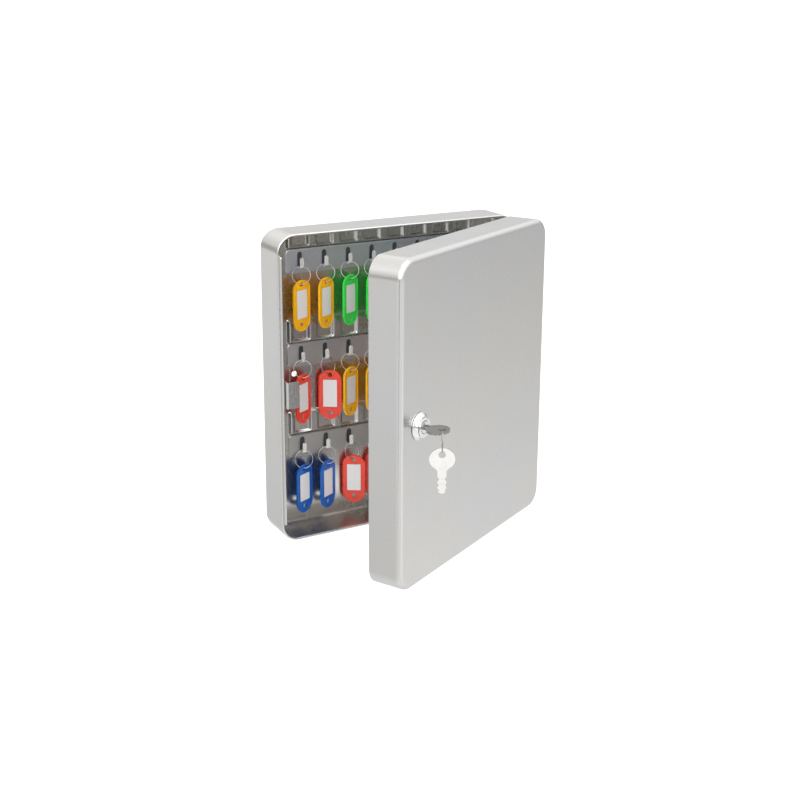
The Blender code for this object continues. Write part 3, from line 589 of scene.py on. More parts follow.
def turned_solid(bm, profile, steps=56):
    """Solid of revolution about Y, closed by flat discs."""
    rings = [loop_at(bm, circle(0.0, 0.0, radius, steps), y) for radius, y in profile]
    for a, b in zip(rings, rings[1:]):
        bridge(bm, a, b)
    bm.faces.new(rings[0])
    bm.faces.new(rings[-1])


def slab(bm, outline, low, high):
    """Outline of (x, y) points raised from one height to another."""
    ends = [[bm.verts.new((x, y, z)) for x, y in outline] for z in (low, high)]
    bridge(bm, *ends)
    for end in ends:
        fill(bm, [end])


def new_object(name, bm):
    bmesh.ops.recalc_face_normals(bm, faces=bm.faces)
    mesh = bpy.data.meshes.new(name)
    bm.to_mesh(mesh)
    bm.free()
    obj = bpy.data.objects.new(name, mesh)
    bpy.context.scene.collection.objects.link(obj)
    return obj


def baked_mesh(obj):
    """Applies the object's modifiers to its mesh."""
    graph = bpy.context.evaluated_depsgraph_get()
    graph.update()
    mesh = bpy.data.meshes.new_from_object(obj.evaluated_get(graph))
    obj.modifiers.clear()
    obj.data = mesh


def finish_mesh(obj, bevel=0.0, segments=2, sharp=32.0, cutters=()):
    """Cuts, bevels and shades a mesh, then applies it all."""
    for cutter in cutters:
        mod = obj.modifiers.new("cut", "BOOLEAN")
        mod.operation = "DIFFERENCE"
        mod.solver = "EXACT"
        mod.object = cutter
    if bevel:
        mod = obj.modifiers.new("bevel", "BEVEL")
        mod.width = bevel
        mod.segments = segments
        mod.limit_method = "ANGLE"
        mod.angle_limit = math.radians(30.0)
        mod.use_clamp_overlap = True
    if cutters or bevel:
        baked_mesh(obj)
    for cutter in cutters:
        bpy.data.objects.remove(cutter)
    obj.data.shade_smooth()
    obj.data.set_sharp_from_angle(angle=math.radians(sharp))
    mod = obj.modifiers.new("normals", "WEIGHTED_NORMAL")
    mod.keep_sharp = True
    mod.weight = 90
    baked_mesh(obj)
    return obj


def cutter(bm):
    return new_object("cutter", bm)


FINISH = finishes()


def dress(obj, body, slot, finish=None):
    """Gives a piece its finish, by default the one of the record's slot it belongs to, and its body to
    ride.
    """
    obj.data.materials.clear()
    obj.data.materials.append(FINISH[finish or slot])
    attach(obj, body)


def place(obj, node, body, matrix=None, finish=None):
    """Puts a finished piece where its CAD node is, in that node's place."""
    if matrix is not None:
        obj.matrix_world = matrix
    dress(obj, body, SLOT_OF[node], finish)
    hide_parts(node)


def copy_of(obj, name):
    made = obj.copy()
    made.name = name
    made.parent = None
    bpy.context.scene.collection.objects.link(made)
    return made


# ---------------------------------------------------------------- case

def pan_loops(bm, profile):
    """Loops of a drawn pan. Each profile entry is (inset from the outer wall, y)."""
    loops = []
    for inset, y in profile:
        r = max(CORNER_R - inset, 1.0 * MM)
        loops.append(loop_at(bm, rounded_rect(WIDTH / 2 - inset, HEIGHT / 2 - inset, r), y))
    for a, b in zip(loops, loops[1:]):
        bridge(bm, a, b)
    return loops[0], loops[-1]


def band_rows():
    """Each pressed band as (foot, pocket foot, pocket top, top) heights."""
    rows = []
    for z0 in ROWS.values():
        top = min(z0 + BAND_TOP, BAND_LIMIT)
        rows.append((z0 + BAND_FOOT, z0 + POCKET_FOOT, min(z0 + POCKET_TOP, top - BEVEL_Z), top))
    return rows


def pressed(x, z, cx, half_w, low, high):
    """Share of a pressed step inside a rectangle: 0 outside, 1 past the bevel, soft and round."""
    side = min(max((half_w - abs(x - cx)) / BEVEL_X, 0.0), 1.0)
    end = min(max(min(z - low, high - z) / BEVEL_Z, 0.0), 1.0)
    t = max(1.0 - math.hypot(1.0 - side, 1.0 - end), 0.0)
    return 0.35 * t + 0.65 * t * t * (3.0 - 2.0 * t)


def band_height(x, z):
    for foot, pocket_foot, pocket_top, top in band_rows():
        if not foot <= z <= top:
            continue
        rise = pressed(x, z, 0.0, BAND_HALF, foot, top)
        for hx in HOOK_X:
            if abs(x - hx) < POCKET_W / 2:
                rise = min(rise, 1.0 - pressed(x, z, hx, POCKET_W / 2, pocket_foot, pocket_top))
        return BAND_RISE * rise
    return 0.0


def seat_height(x, z):
    """How far the raised seats round the wall holes stand forward at a point."""
    edge = min(abs(x) - SEAT_X[0], SEAT_X[1] - abs(x), z - SEAT_Z[0], SEAT_Z[1] - z)
    return SEAT_RISE * min(max(1.0 + edge / SEAT_SLOPE, 0.0), 1.0)


def grid_lines(edges, limit, bevel, seat):
    """Grid lines: close together just inside each pressed edge, given as (place, inward sign)."""
    lines = {-limit, limit, *seat}
    for place, inward in edges:
        lines |= {round(place + inward * bevel * s, 7) for s in (0.0, 0.13, 0.3, 0.5, 0.7, 0.87, 1.0, 1.12)}
    return sorted(v for v in lines if -limit <= v <= limit)


def pressed_sheet(bm, half_w, half_h):
    x_edges = [(-BAND_HALF, 1), (BAND_HALF, -1)]
    for hx in HOOK_X:
        x_edges += [(hx - POCKET_W / 2, 1), (hx + POCKET_W / 2, -1)]
    z_edges = []
    for foot, pocket_foot, pocket_top, top in band_rows():
        z_edges += [(foot, 1), (pocket_foot, 1), (pocket_top, -1), (top, -1)]
    seat_zs = [SEAT_Z[0] - SEAT_SLOPE, *SEAT_Z, SEAT_Z[1] + SEAT_SLOPE]
    seat_xs = [side * x for side in (-1, 1) for x in
               (SEAT_X[0] - SEAT_SLOPE, *SEAT_X, SEAT_X[1] + SEAT_SLOPE)]
    xs = grid_lines(x_edges, half_w, BEVEL_X, seat_xs)
    zs = grid_lines(z_edges, half_h, BEVEL_Z, seat_zs)
    rises = [[band_height(x, z) + seat_height(x, z) for x in xs] for z in zs]
    boundaries = []
    for y0 in (-SHEET, 0.0):
        grid = [[bm.verts.new((x, y0 - rise, z)) for x, rise in zip(xs, row)]
                for z, row in zip(zs, rises)]
        for low, high in zip(grid, grid[1:]):
            for j in range(len(xs) - 1):
                bm.faces.new((low[j], low[j + 1], high[j + 1], high[j]))
        edge = grid[0] + [row[-1] for row in grid[1:-1]]
        edge += grid[-1][::-1] + [row[0] for row in grid[1:-1]][::-1]
        boundaries.append(edge)
    return boundaries


def case_profile():
    """Outer wall, folded front rim and inner wall, each point as (inset, y)."""
    steps = 7
    margin = 0.4 * MM
    outer = [(CASE_EDGE_R + margin, 0.0)]
    outer += [(CASE_EDGE_R + x, y - CASE_EDGE_R) for x, y in arc(0, 0, CASE_EDGE_R, 90, 180, steps)]
    outer += [(0.0, -CASE_EDGE_R - 1.0 * MM), (0.0, FRONT + RIM_THICK / 2 + 0.8 * MM)]
    nose = RIM_THICK / 2
    rim = [(nose + x, FRONT + nose + y) for x, y in arc(0, 0, nose, 180, 360, 10)]
    fold = [(RIM_THICK, FRONT + RIM_DEPTH - 0.3 * MM), (RIM_THICK - 0.3 * MM, FRONT + RIM_DEPTH),
            (SHEET, FRONT + RIM_DEPTH + 0.2 * MM), (SHEET, FRONT + RIM_DEPTH + 1.0 * MM),
            (SHEET, -CASE_EDGE_R - 1.0 * MM)]
    inner_r = CASE_EDGE_R - SHEET
    inner = [(CASE_EDGE_R + x, y - CASE_EDGE_R) for x, y in arc(0, 0, inner_r, 180, 90, steps)]
    return outer + rim + fold + inner + [(CASE_EDGE_R + margin, -SHEET)]


def lip_flange(bm):
    """Flange on the straight stretch of the left rim, stepped inward, with a rolled nose."""
    near = -WIDTH / 2 + LIP_STEP
    far = near + LIP_THICK
    tip = FRONT - LIP_LENGTH
    nose = LIP_THICK / 2
    root = FRONT + RIM_DEPTH - LIP_LAP
    rim = FRONT - 0.2 * MM
    outline = [(far, root), (near, root), (near, rim)]
    outline += [(near + nose + x, tip + nose + y) for x, y in arc(0, 0, nose, 180, 360, 10)]
    reach = HEIGHT / 2 - CORNER_R
    taper = [(0.0, 1.0), (1.5 * MM, 0.35), (2.6 * MM, 0.0)]
    levels = [(back - reach, drop) for back, drop in taper]
    levels += [(reach - back, drop) for back, drop in reversed(taper)]
    stations = []
    for z, drop in levels:
        ring = []
        for x, y in outline:
            forward = max(rim - y, 0.0)
            ring.append(bm.verts.new((x, y + forward * drop, z)))
        stations.append(ring)
    for a, b in zip(stations, stations[1:]):
        bridge(bm, a, b)
    fill(bm, [stations[0]])
    fill(bm, [stations[-1]])


def case():
    bm = bmesh.new()
    back, inside = pan_loops(bm, case_profile())
    front_edge, rear_edge = pressed_sheet(bm, FIELD_HALF_W, FIELD_HALF_H)
    fill(bm, [inside, front_edge])
    fill(bm, [back, rear_edge])
    shell = new_object("case_shell_fine", bm)
    cutters = []
    for side in (-1, 1):
        bm = bmesh.new()
        turned_solid(bm, [(WALL_HOLE_R, -5 * MM), (WALL_HOLE_R, 5 * MM)], 32)
        bmesh.ops.translate(bm, verts=bm.verts, vec=(side * WALL_HOLE[0], 0.0, WALL_HOLE[1]))
        cutters.append(cutter(bm))
    finish_mesh(shell, cutters=cutters)
    place(shell, "case_shell", "cabinet")

    bm = bmesh.new()
    lip_flange(bm)
    dress(finish_mesh(new_object("case_lip_flange", bm)), "cabinet", "case_steel")


# ---------------------------------------------------------------- hook rails

def slot_outline(cx):
    half = SLOT_W / 2
    top = arc(cx, SLOT_TOP - half, half, 0, 180, 16)
    return [(cx + half, -SLOT_FOOT)] + top + [(cx - half, -SLOT_FOOT)]


def hook_path():
    """Middle line (y, z) of a lanced hook from its root to its tip."""
    root_y = RAIL_FRONT + RAIL_THICK / 2
    tip_y = RAIL_FRONT - HOOK_REACH
    first = arc(root_y - HOOK_BEND_R, -HOOK_BEND_R, HOOK_BEND_R, 0, 90, 8)
    second = arc(tip_y + HOOK_BEND_R, HOOK_BEND_R, HOOK_BEND_R, 270, 180, 8)
    foot = [(root_y, -HOOK_BEND_R - HOOK_ROOT)]
    rise = [(tip_y, HOOK_BEND_R + (HOOK_TIP - HOOK_BEND_R) * i / 12) for i in range(1, 13)]
    return foot + first + second + rise


def hook(bm, cx):
    """One hook: a strip that follows the path and narrows to a round tip."""
    path = hook_path()
    tip_r = HOOK_W / 2
    half_t = HOOK_THICK / 2
    rings = []
    for i, (y, z) in enumerate(path):
        a = path[max(i - 1, 0)]
        b = path[min(i + 1, len(path) - 1)]
        run = math.hypot(b[0] - a[0], b[1] - a[1])
        ny, nz = (b[1] - a[1]) / run, -(b[0] - a[0]) / run
        to_tip = path[-1][1] - z if i > 16 else tip_r
        short = max(tip_r - to_tip, 0.0)
        half = max(math.sqrt(max(tip_r ** 2 - short ** 2, 0.0)), 0.5 * MM)
        ring = [bm.verts.new((cx + sx * half, y + st * half_t * ny, z + st * half_t * nz))
                for sx, st in ((-1, -1), (1, -1), (1, 1), (-1, 1))]
        rings.append(ring)
    for a, b in zip(rings, rings[1:]):
        bridge(bm, a, b)
    bm.faces.new(rings[0])
    bm.faces.new(rings[-1])


def hook_rails():
    """The three rails, their hooks, and a dark strip of painted shade in the gap behind each rail's slots.
    """
    bm = bmesh.new()
    half_h = (RAIL_ABOVE + RAIL_BELOW) / 2
    outline = rounded_rect(RAIL_HALF, half_h, RAIL_CORNER_R, 8, (RAIL_ABOVE - RAIL_BELOW) / 2)
    plate(bm, outline, [slot_outline(x) for x in HOOK_X], RAIL_FRONT, RAIL_FRONT + RAIL_THICK)
    rail = finish_mesh(new_object("rail_fine", bm), 0.16 * MM, 2)
    bm = bmesh.new()
    for x in HOOK_X:
        hook(bm, x)
    hooks = finish_mesh(new_object("hooks_fine", bm), 0.22 * MM, 3)
    # Painted shade: a dark sheet in the gap behind the slots, standing in for the shadow there
    bm = bmesh.new()
    shade_front = RAIL_FRONT + RAIL_THICK + 0.03 * MM
    reach = HOOK_X[-1] + SLOT_W
    low, high = -SLOT_FOOT - 0.5 * MM, SLOT_TOP + 0.5 * MM
    strip = [(-reach, low), (reach, low), (reach, high), (-reach, high)]
    plate(bm, strip, [], shade_front, shade_front + GAP - 0.06 * MM)
    painted_shade_sheet = finish_mesh(new_object("rail_gap_fine", bm))
    for row, z0 in ROWS.items():
        for source, name in ((rail, "hook_rail"), (hooks, "hooks"), (painted_shade_sheet, "rail_gap_painted_shade")):
            piece = copy_of(source, f"{name}_{row}_fine")
            piece.data = source.data.copy()
            piece.data.transform(Matrix.Translation((0.0, 0.0, z0)))
            if source is rail:
                place(piece, f"hook_rail_{row}", "cabinet")
            else:
                dress(piece, "cabinet", "rail_steel", "hook_steel" if source is hooks else "rail_shade")
    for obj in (rail, hooks, painted_shade_sheet):
        bpy.data.objects.remove(obj)


# ---------------------------------------------------------------- strike and hinges

def strike():
    wall = -WIDTH / 2 + SHEET + GAP
    past_lip = -WIDTH / 2 + LIP_STEP + LIP_THICK + GAP
    t = STRIKE_THICK
    bend = STRIKE_BEND_R
    outer = [(wall, STRIKE_REAR), (wall, FRONT + 6 * MM), (past_lip, FRONT + 4.2 * MM)]
    outer += arc(past_lip + bend, STRIKE_FRONT + bend, bend, 180, 270, 8)
    outer += [(past_lip + STRIKE_W, STRIKE_FRONT), (past_lip + STRIKE_W, STRIKE_FRONT + t)]
    inner = arc(past_lip + bend, STRIKE_FRONT + bend, max(bend - t, 0.05 * MM), 270, 180, 4)
    inner += [(past_lip + t, FRONT + 4.8 * MM), (wall + t, FRONT + 6.6 * MM), (wall + t, STRIKE_REAR)]
    bm = bmesh.new()
    slab(bm, outer + inner, -STRIKE_H / 2, STRIKE_H / 2)
    piece = finish_mesh(new_object("strike_plate_fine", bm), 0.2 * MM, 2)
    place(piece, "strike_plate", "cabinet")


def knuckle_outline(side):
    touch = math.degrees(math.acos(1.0 - LEAF_THICK / BARREL_R))
    barrel = arc(0, 0, BARREL_R, (180.0 - touch) * side, -180.0 * side, 40)
    far = side * LEAF_WIDTH
    return barrel + [(-BARREL_R, far), (-BARREL_R + LEAF_THICK, far)]


def hinge_leaf(name, node, spans, webs, side, body, matrix):
    bm = bmesh.new()
    for low, high in spans:
        rims = []
        for z in (low, high):
            rim = [bm.verts.new((x, y, z)) for x, y in knuckle_outline(side)]
            bore = [bm.verts.new((x, y, z)) for x, y in circle(0, 0, PIN_R + GAP, 32)]
            fill(bm, [rim, bore])
            rims.append((rim, bore))
        bridge(bm, rims[0][0], rims[1][0])
        bridge(bm, rims[0][1], rims[1][1])
    near, far = side * (BARREL_R + 0.5 * MM), side * LEAF_WIDTH
    x0, x1 = -BARREL_R, -BARREL_R + LEAF_THICK
    inset = 0.02 * MM
    for low, high in webs:
        slab(bm, [(x0 + inset, near), (x1 - inset, near), (x1 - inset, far - side * inset),
                  (x0 + inset, far - side * inset)], low, high)
    piece = finish_mesh(new_object(name, bm), 0.15 * MM, 2)
    place(piece, node, body, matrix)


def hinges():
    for end in ("upper", "lower"):
        lo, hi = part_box(f"{end}_hinge_case_leaf")
        length, z = hi.z - lo.z, (lo.z + hi.z) / 2
        third, half = length / 3, KNUCKLE_GAP / 2
        edges = [-length / 2 + third * i for i in range(4)]
        low = (edges[0], edges[1] - half)
        mid = (edges[1] + half, edges[2] - half)
        high = (edges[2] + half, edges[3])
        upright = Matrix.Translation((HINGE.x, HINGE.y, z))
        hinge_leaf(f"{end}_case_leaf_fine", f"{end}_hinge_case_leaf", [low, high],
                   [(low[1], high[0])], 1, "cabinet", upright)
        turned_leaf = Matrix.Translation((HINGE.x, HINGE.y, z)) @ Matrix.Rotation(DOOR_OPEN, 4, "Z")
        hinge_leaf(f"{end}_door_leaf_fine", f"{end}_hinge_door_leaf", [mid],
                   [(low[0], mid[0]), (mid[1], high[1])], -1, "door", turned_leaf)
        pin_lo, pin_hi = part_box(f"{end}_hinge_pin")
        reach = (pin_hi.z - pin_lo.z) / 2
        head_r = PIN_R * 1.7
        shank = reach - PIN_HEAD
        dome = [(head_r * math.cos(a), -shank - PIN_HEAD * math.sin(a)) for a in
                (math.radians(d) for d in (84, 60, 40, 20, 0))]
        profile = dome + [(PIN_R, -shank), (PIN_R, shank)]
        profile += [(r, -y) for r, y in reversed(dome)]
        bm = bmesh.new()
        turned_solid(bm, profile, 32)
        pin = finish_mesh(new_object(f"{end}_hinge_pin_fine", bm))
        place(pin, f"{end}_hinge_pin", "cabinet", upright @ Matrix.Rotation(math.pi / 2, 4, "X"))


# ---------------------------------------------------------------- door and lock

def door():
    r, steps = DOOR_EDGE_R, 9
    outer = [(r + 0.5 * MM, DOOR_FACE)]
    outer += [(r + x, DOOR_FACE + r + y) for x, y in arc(0, 0, r, 270, 180, steps)]
    edge = 0.25 * MM
    outer += [(0.0, DOOR_FACE + r + 1.0 * MM), (0.0, DOOR_RIM - edge)]
    rim = [(edge, DOOR_RIM), (SHEET - edge, DOOR_RIM), (SHEET, DOOR_RIM - edge)]
    inner_r = r - SHEET
    inner = [(SHEET, DOOR_FACE + r + 1.0 * MM)]
    inner += [(r + x, DOOR_FACE + r + y) for x, y in arc(0, 0, inner_r, 180, 270, steps)]
    inner += [(r + 0.5 * MM, DOOR_FACE + SHEET)]
    bm = bmesh.new()
    face, inside = pan_loops(bm, outer + rim + inner)
    holes = []
    for loop in (face, inside):
        hole = loop_at(bm, circle(LOCK_X, 0.0, BODY_R + GAP, 48), loop[0].co.y)
        fill(bm, [loop, hole])
        holes.append(hole)
    bridge(bm, *holes)
    piece = finish_mesh(new_object("door_shell_fine", bm))
    place(piece, "door_shell", "door", DOOR)


def round_corner(profile, radius, steps=3):
    """Rounds each corner of a closed (radius, y) profile with a small fillet."""
    made = []
    n = len(profile)
    for i in range(n):
        a, b, c = Vector(profile[i - 1]), Vector(profile[i]), Vector(profile[(i + 1) % n])
        reach = min(radius, (a - b).length * 0.45, (c - b).length * 0.45)
        start, end = b + (a - b).normalized() * reach, b + (c - b).normalized() * reach
        for k in range(steps + 1):
            t = k / steps
            made.append(tuple(start * (1 - t) ** 2 + b * 2 * t * (1 - t) + end * t * t))
    return made


def lock():
    bezel_back = DOOR_FACE - GAP
    bezel_front = bezel_back - BEZEL_H
    head_back = bezel_front - GAP
    head_front = head_back - HEAD_H
    body_back = STRIKE_FRONT + BODY_BEHIND_STRIKE
    tail_front = body_back + PLUG_PAST_BODY
    cam_front = STRIKE_FRONT + STRIKE_THICK + CAM_BEHIND_STRIKE
    cam_back = cam_front + CAM_THICK
    at_lock = DOOR @ Matrix.Translation((LOCK_X, 0.0, 0.0))
    bore = PLUG_R + GAP

    bm = bmesh.new()
    slope = [(BEZEL_R - (BEZEL_R - BEZEL_TOP_R) * t, bezel_back - 0.8 * MM
              - (BEZEL_H - 0.8 * MM) * t + 0.35 * MM * math.sin(math.pi * t)) for t in
             (0.0, 0.15, 0.3, 0.45, 0.6, 0.75, 0.9, 1.0)]
    profile = [(BODY_R + GAP, bezel_back), (BEZEL_R, bezel_back)] + slope + [(BODY_R + GAP, bezel_front)]
    turned(bm, round_corner(profile, 0.22 * MM), 96)
    place(finish_mesh(new_object("lock_bezel_fine", bm)), "lock_bezel", "door", at_lock)

    bm = bmesh.new()
    face_y = head_front
    profile = [(bore, face_y + 0.35 * MM), (bore + 0.5 * MM, face_y), (HEAD_R - 1.2 * MM, face_y),
               (HEAD_R - 0.9 * MM, face_y + 0.3 * MM), (HEAD_R, face_y + 0.45 * MM), (HEAD_R, head_back),
               (BODY_R, head_back)]
    thread_start = DOOR_FACE + 2.0 * MM
    pitch = (body_back - thread_start - 1.0 * MM) / THREAD_TURNS
    for i in range(THREAD_TURNS):
        y = thread_start + pitch * i
        profile += [(BODY_R, y), (BODY_R - THREAD_DEEP, y + pitch / 2)]
    profile += [(BODY_R, body_back - 1.0 * MM), (BODY_R - 0.5 * MM, body_back), (bore, body_back)]
    turned(bm, profile, 72)
    place(finish_mesh(new_object("lock_body_fine", bm), sharp=28.0), "lock_body", "door", at_lock)

    nut_front = DOOR_FACE + SHEET + GAP
    bm = bmesh.new()
    plate(bm, circle(0.0, 0.0, NUT_AF / math.sqrt(3), 6), [circle(0.0, 0.0, BODY_R + GAP, 48)],
          nut_front, nut_front + NUT_H)
    place(finish_mesh(new_object("lock_nut_fine", bm), 0.4 * MM, 3), "lock_nut", "door", at_lock)

    bm = bmesh.new()
    turned_solid(bm, [(PLUG_R - 0.45 * MM, head_front), (PLUG_R - 0.1 * MM, head_front + 0.12 * MM),
                      (PLUG_R, head_front + 0.45 * MM), (PLUG_R, tail_front), (PLUG_TAIL_R, tail_front),
                      (PLUG_TAIL_R, cam_back - 0.3 * MM), (PLUG_TAIL_R - 0.3 * MM, cam_back)], 72)
    plug = new_object("lock_plug_fine", bm)
    half_w, half_t = BLADE_HALF + GAP, KEY_THICK / 2 + GAP
    bm = bmesh.new()
    way = rounded_rect(half_w, half_t, 0.5 * MM, 4)
    plate(bm, way, [], head_front - 2 * MM, head_front + 19.6 * MM)
    place(finish_mesh(plug, 0.12 * MM, 2, cutters=[cutter(bm)]), "lock_plug", "lock_plug", at_lock)

    bm = bmesh.new()
    outline = arc(0.0, 0.0, CAM_W / 2, 0, 180, 24)
    outline += arc(0.0, -CAM_LENGTH + CAM_W / 2, CAM_W / 2, 180, 360, 24)
    plate(bm, outline, [circle(0.0, 0.0, PLUG_TAIL_R + GAP, 40)], cam_front, cam_back)
    place(finish_mesh(new_object("lock_cam_fine", bm), 0.2 * MM, 2), "lock_cam", "lock_plug", at_lock)

    head_y = cam_back + GAP
    bm = bmesh.new()
    dome = [(SCREW_HEAD_R * math.cos(a), head_y + 0.9 * MM + 1.3 * MM * math.sin(a)) for a in
            (math.radians(d) for d in (0, 15, 30, 45, 60, 75, 86))]
    shank = [(SCREW_R, cam_back - 6 * MM), (SCREW_R, head_y), (SCREW_HEAD_R, head_y)]
    turned_solid(bm, shank + dome, 48)
    screw = new_object("cam_screw_fine", bm)
    bm = bmesh.new()
    cross = []
    for quarter in range(4):
        a = math.radians(90 * quarter)
        for x, z in ((0.45 * MM, 0.45 * MM), (0.45 * MM, 2.1 * MM), (-0.45 * MM, 2.1 * MM)):
            cross.append((x * math.cos(a) - z * math.sin(a), x * math.sin(a) + z * math.cos(a)))
    plate(bm, cross, [], head_y + 0.9 * MM, head_y + 5 * MM)
    place(finish_mesh(screw, 0.06 * MM, 2, cutters=[cutter(bm)]), "cam_screw", "lock_plug", at_lock)
    return at_lock, head_front


# ---------------------------------------------------------------- keys

def key_outline():
    """Flat key in the XZ plane, its bow's hole at the origin and its blade running down."""
    centre = -(BOW_HALF_L - BOW_HOLE_IN)
    bow = []
    for i in range(65):
        a = math.radians(-56 + 292 * i / 64)
        bow.append((BOW_HALF_W * math.cos(a), centre + BOW_HALF_L * math.sin(a)))
    tip = BOW_HOLE_IN - KEY_LENGTH
    side = [(BLADE_HALF + 0.5 * MM, -14.2 * MM), (BLADE_HALF, -15.5 * MM)]
    z = -18.0 * MM
    while z > tip + 1.8 * MM:
        depth = 0.0
        for middle, cut, half in KEY_CUTS:
            t = min(abs(z - middle) / (1.5 * half), 1.0)
            depth = max(depth, cut * (1.0 - t * t * (3.0 - 2.0 * t)))
        side.append((BLADE_HALF - depth, z))
        z -= 0.3 * MM
    side += [(2.9 * MM, tip + 1.2 * MM), (1.6 * MM, tip + 0.3 * MM), (0.6 * MM, tip)]
    return bow + [(-x, z) for x, z in side] + list(reversed(side))


def key():
    bm = bmesh.new()
    half = KEY_THICK / 2
    plate(bm, key_outline(), [circle(0.0, 0.0, BOW_HOLE_R, 40)], -half, half)
    blank = new_object("key_fine", bm)
    cutters = []
    for side in (-1, 1):
        bm = bmesh.new()
        groove = rounded_rect(0.55 * MM, KEY_GROOVE_HALF_L, 0.5 * MM, 4, -KEY_GROOVE_IN)
        plate(bm, [(x + side * 1.1 * MM, z) for x, z in groove], [], side * (half - KEY_GROOVE_DEEP),
              side * (half + 1.0 * MM))
        cutters.append(cutter(bm))
    return finish_mesh(blank, 0.18 * MM, 2, cutters=cutters)


def split_ring(bm, major, wire, flat=0.66):
    """Two turns of flattened wire lying side by side, with the jog where they cross over."""
    steps, sides, turns = 56, 10, 2
    total = steps * turns
    half_axial = wire / 2
    rings = []
    for i in range(total + 1):
        a = 2 * math.pi * turns * i / total * 0.985 + 0.9
        t = min(max((i / total - 0.44) / 0.12, 0.0), 1.0)
        offset = half_axial * (2.0 * t * t * (3.0 - 2.0 * t) - 1.0)
        ring = []
        for j in range(sides):
            b = 2 * math.pi * j / sides
            r = major + wire * flat * math.cos(b)
            y = offset + half_axial * 0.96 * math.sin(b)
            ring.append(bm.verts.new((r * math.sin(a), y, r * math.cos(a))))
        rings.append(ring)
    for a, b in zip(rings, rings[1:]):
        bridge(bm, a, b)
    bm.faces.new(rings[0])
    bm.faces.new(rings[-1])


def keys(at_lock, head_front):
    first = key()
    spare = copy_of(first, "spare_key_fine")
    first.name = "lock_key_fine"
    hole = Matrix.Translation((0.0, head_front - KEY_SEAT, 0.0))
    first.data = first.data.copy()
    # The key in the lock wears the nickel painted darker, a painted reflection of shade
    place(first, "lock_key", "lock_key", at_lock @ hole @ Matrix.Rotation(math.pi / 2, 4, "X"), "key_nickel_painted_dark")
    rim = Vector(JOINTS["key_ring_swing"]["pos_m"])
    across = Vector(JOINTS["key_ring_swing"]["axis"])
    facing = math.atan2(across.x, -across.y)
    bm = bmesh.new()
    split_ring(bm, RING_R, KEY_RING_WIRE)
    ring = finish_mesh(new_object("key_ring_fine", bm), sharp=50.0)
    edge_on = Matrix.Rotation(facing, 4, "Z") @ Matrix.Rotation(math.pi / 2, 4, "Z")
    place(ring, "key_ring", "key_ring", Matrix.Translation(rim + Vector((0, 0, -RING_DROP))) @ edge_on)
    drop = RING_DROP + RING_R + BOW_HOLE_R - RING_WIRE - GAP
    hang = Matrix.Translation(rim + Vector((0.0, 0.0, -drop))) @ Matrix.Rotation(facing, 4, "Z")
    place(spare, "spare_key", "spare_key", hang)


# ---------------------------------------------------------------- tags

def tag_outline(inset=0.0):
    """Key tag from the front, its top at z = 0: straight sides between two elliptic ends."""
    points = []
    for start, centre, rise in ((0, -TAG_DOME, TAG_DOME), (180, TAG_FOOT - TAG_L, TAG_FOOT)):
        for step in range(0, 181, 5):
            a = math.radians(start + step)
            points.append(((TAG_W / 2 - inset) * math.cos(a), centre + (rise - inset) * math.sin(a)))
    return points


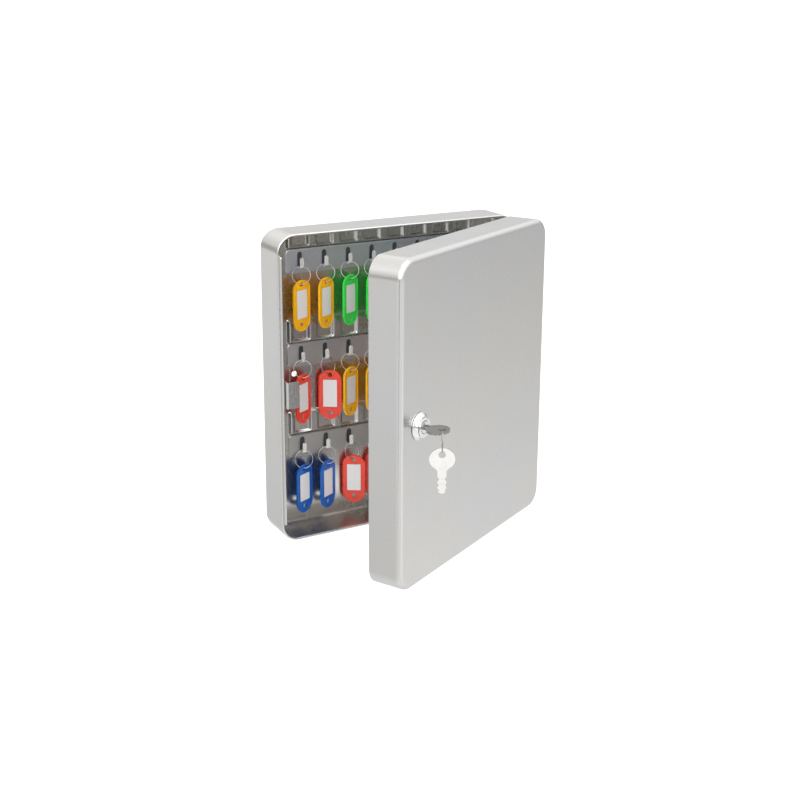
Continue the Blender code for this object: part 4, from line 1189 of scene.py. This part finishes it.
def tag():
    """Frame with a raised border, a window for the label, and two eyes."""
    half = TAG_THICK / 2
    step = 0.35 * MM
    border = 1.1 * MM
    bm = bmesh.new()
    levels = [(0.0, -half + 0.3 * MM), (0.09 * MM, -half + 0.1 * MM), (0.3 * MM, -half), (border, -half),
              (border + 0.25 * MM, -half + step)]
    fronts = [loop_at(bm, tag_outline(inset), y) for inset, y in levels]
    for a, b in zip(fronts, fronts[1:]):
        bridge(bm, a, b)
    rears = [loop_at(bm, tag_outline(inset), y) for inset, y in
             ((0.0, half - 0.3 * MM), (0.09 * MM, half - 0.1 * MM), (0.3 * MM, half))]
    bridge(bm, fronts[0], rears[0])
    for a, b in zip(rears, rears[1:]):
        bridge(bm, a, b)
    eyes_front, eyes_back = [], []
    for inward, r in ((TAG_HOLE_IN, TAG_HOLE_R), (TAG_EYE_IN, TAG_EYE_R)):
        rings = []
        for grow, y in ((0.25 * MM, -half + step), (0.05 * MM, -half + step + 0.12 * MM),
                        (0.0, -half + step + 0.4 * MM), (0.0, half - 0.4 * MM),
                        (0.05 * MM, half - 0.12 * MM), (0.25 * MM, half)):
            rings.append(loop_at(bm, circle(0.0, -inward, r + grow, 36), y))
        for a, b in zip(rings, rings[1:]):
            bridge(bm, a, b)
        eyes_front.append(rings[0])
        eyes_back.append(rings[-1])
    floor = -half + LABEL_SINK
    low = LABEL_TOP + LABEL_L
    lip = 0.25 * MM
    window = []
    for grow, y in ((lip, -half + step), (0.0, -half + step + 0.15 * MM), (0.0, floor)):
        w = LABEL_W / 2 + grow
        centre = -(LABEL_TOP + low) / 2
        window.append(loop_at(bm, rounded_rect(w, LABEL_L / 2 + grow, 0.7 * MM + grow, 5, centre), y))
    for a, b in zip(window, window[1:]):
        bridge(bm, a, b)
    bm.faces.new(window[-1])
    fill(bm, [fronts[-1], window[0], *eyes_front])
    fill(bm, [rears[-1], *eyes_back])
    return finish_mesh(new_object("tag_fine", bm), sharp=40.0)


def label():
    bm = bmesh.new()
    back = -TAG_THICK / 2 + LABEL_SINK - GAP / 2
    half_l = LABEL_L / 2 - GAP
    outline = rounded_rect(LABEL_W / 2 - GAP, half_l, 0.5 * MM, 4, -LABEL_TOP - LABEL_L / 2)
    plate(bm, outline, [], back - LABEL_THICK, back)
    return finish_mesh(new_object("label_fine", bm), 0.08 * MM, 2)


def tags():
    bm = bmesh.new()
    split_ring(bm, TAG_RING_R, TAG_WIRE)
    ring = finish_mesh(new_object("tag_ring_fine", bm), sharp=50.0)
    frame_piece, card_piece = tag(), label()
    for row, angles in TAG_ANGLES.items():
        for column, (tag_turn, ring_turn, ring_lean) in enumerate(angles, start=1):
            name = f"{row}_{column}"
            body = f"tag_set_{name}"
            pivot = Matrix.Translation(JOINTS[f"tag_swing_{name}"]["pos_m"])
            hang = Matrix.Rotation(math.radians(ring_turn), 4, "Z")
            hang = hang @ Matrix.Rotation(math.radians(-ring_lean), 4, "X")
            loop = pivot @ hang @ Matrix.Translation((0.0, 0.0, -TAG_RING_R))
            loop = loop @ Matrix.Rotation(math.radians(37.0 * column + 90.0 * len(row)), 4, "Y")
            piece = copy_of(ring, f"tag_ring_{name}_fine")
            place(piece, f"tag_ring_{name}", body, loop)
            low = hang @ Vector((0.0, 0.0, -2 * TAG_RING_R))
            stand = pivot @ Matrix.Translation(low + Vector((0.0, 0.0, TAG_HOLE_IN - TAG_WIRE_RISE)))
            stand = stand @ Matrix.Rotation(math.radians(tag_turn), 4, "Z")
            node = f"tag_{name}"
            piece = copy_of(frame_piece, f"{node}_fine")
            piece.data = piece.data.copy()
            place(piece, node, body, stand)
            piece = copy_of(card_piece, f"tag_label_{name}_fine")
            place(piece, f"tag_label_{name}", body, stand)
    for obj in (ring, frame_piece, card_piece):
        bpy.data.objects.remove(obj)


camera()
studio()
case()
hook_rails()
strike()
hinges()
door()
keys(*lock())
tags()
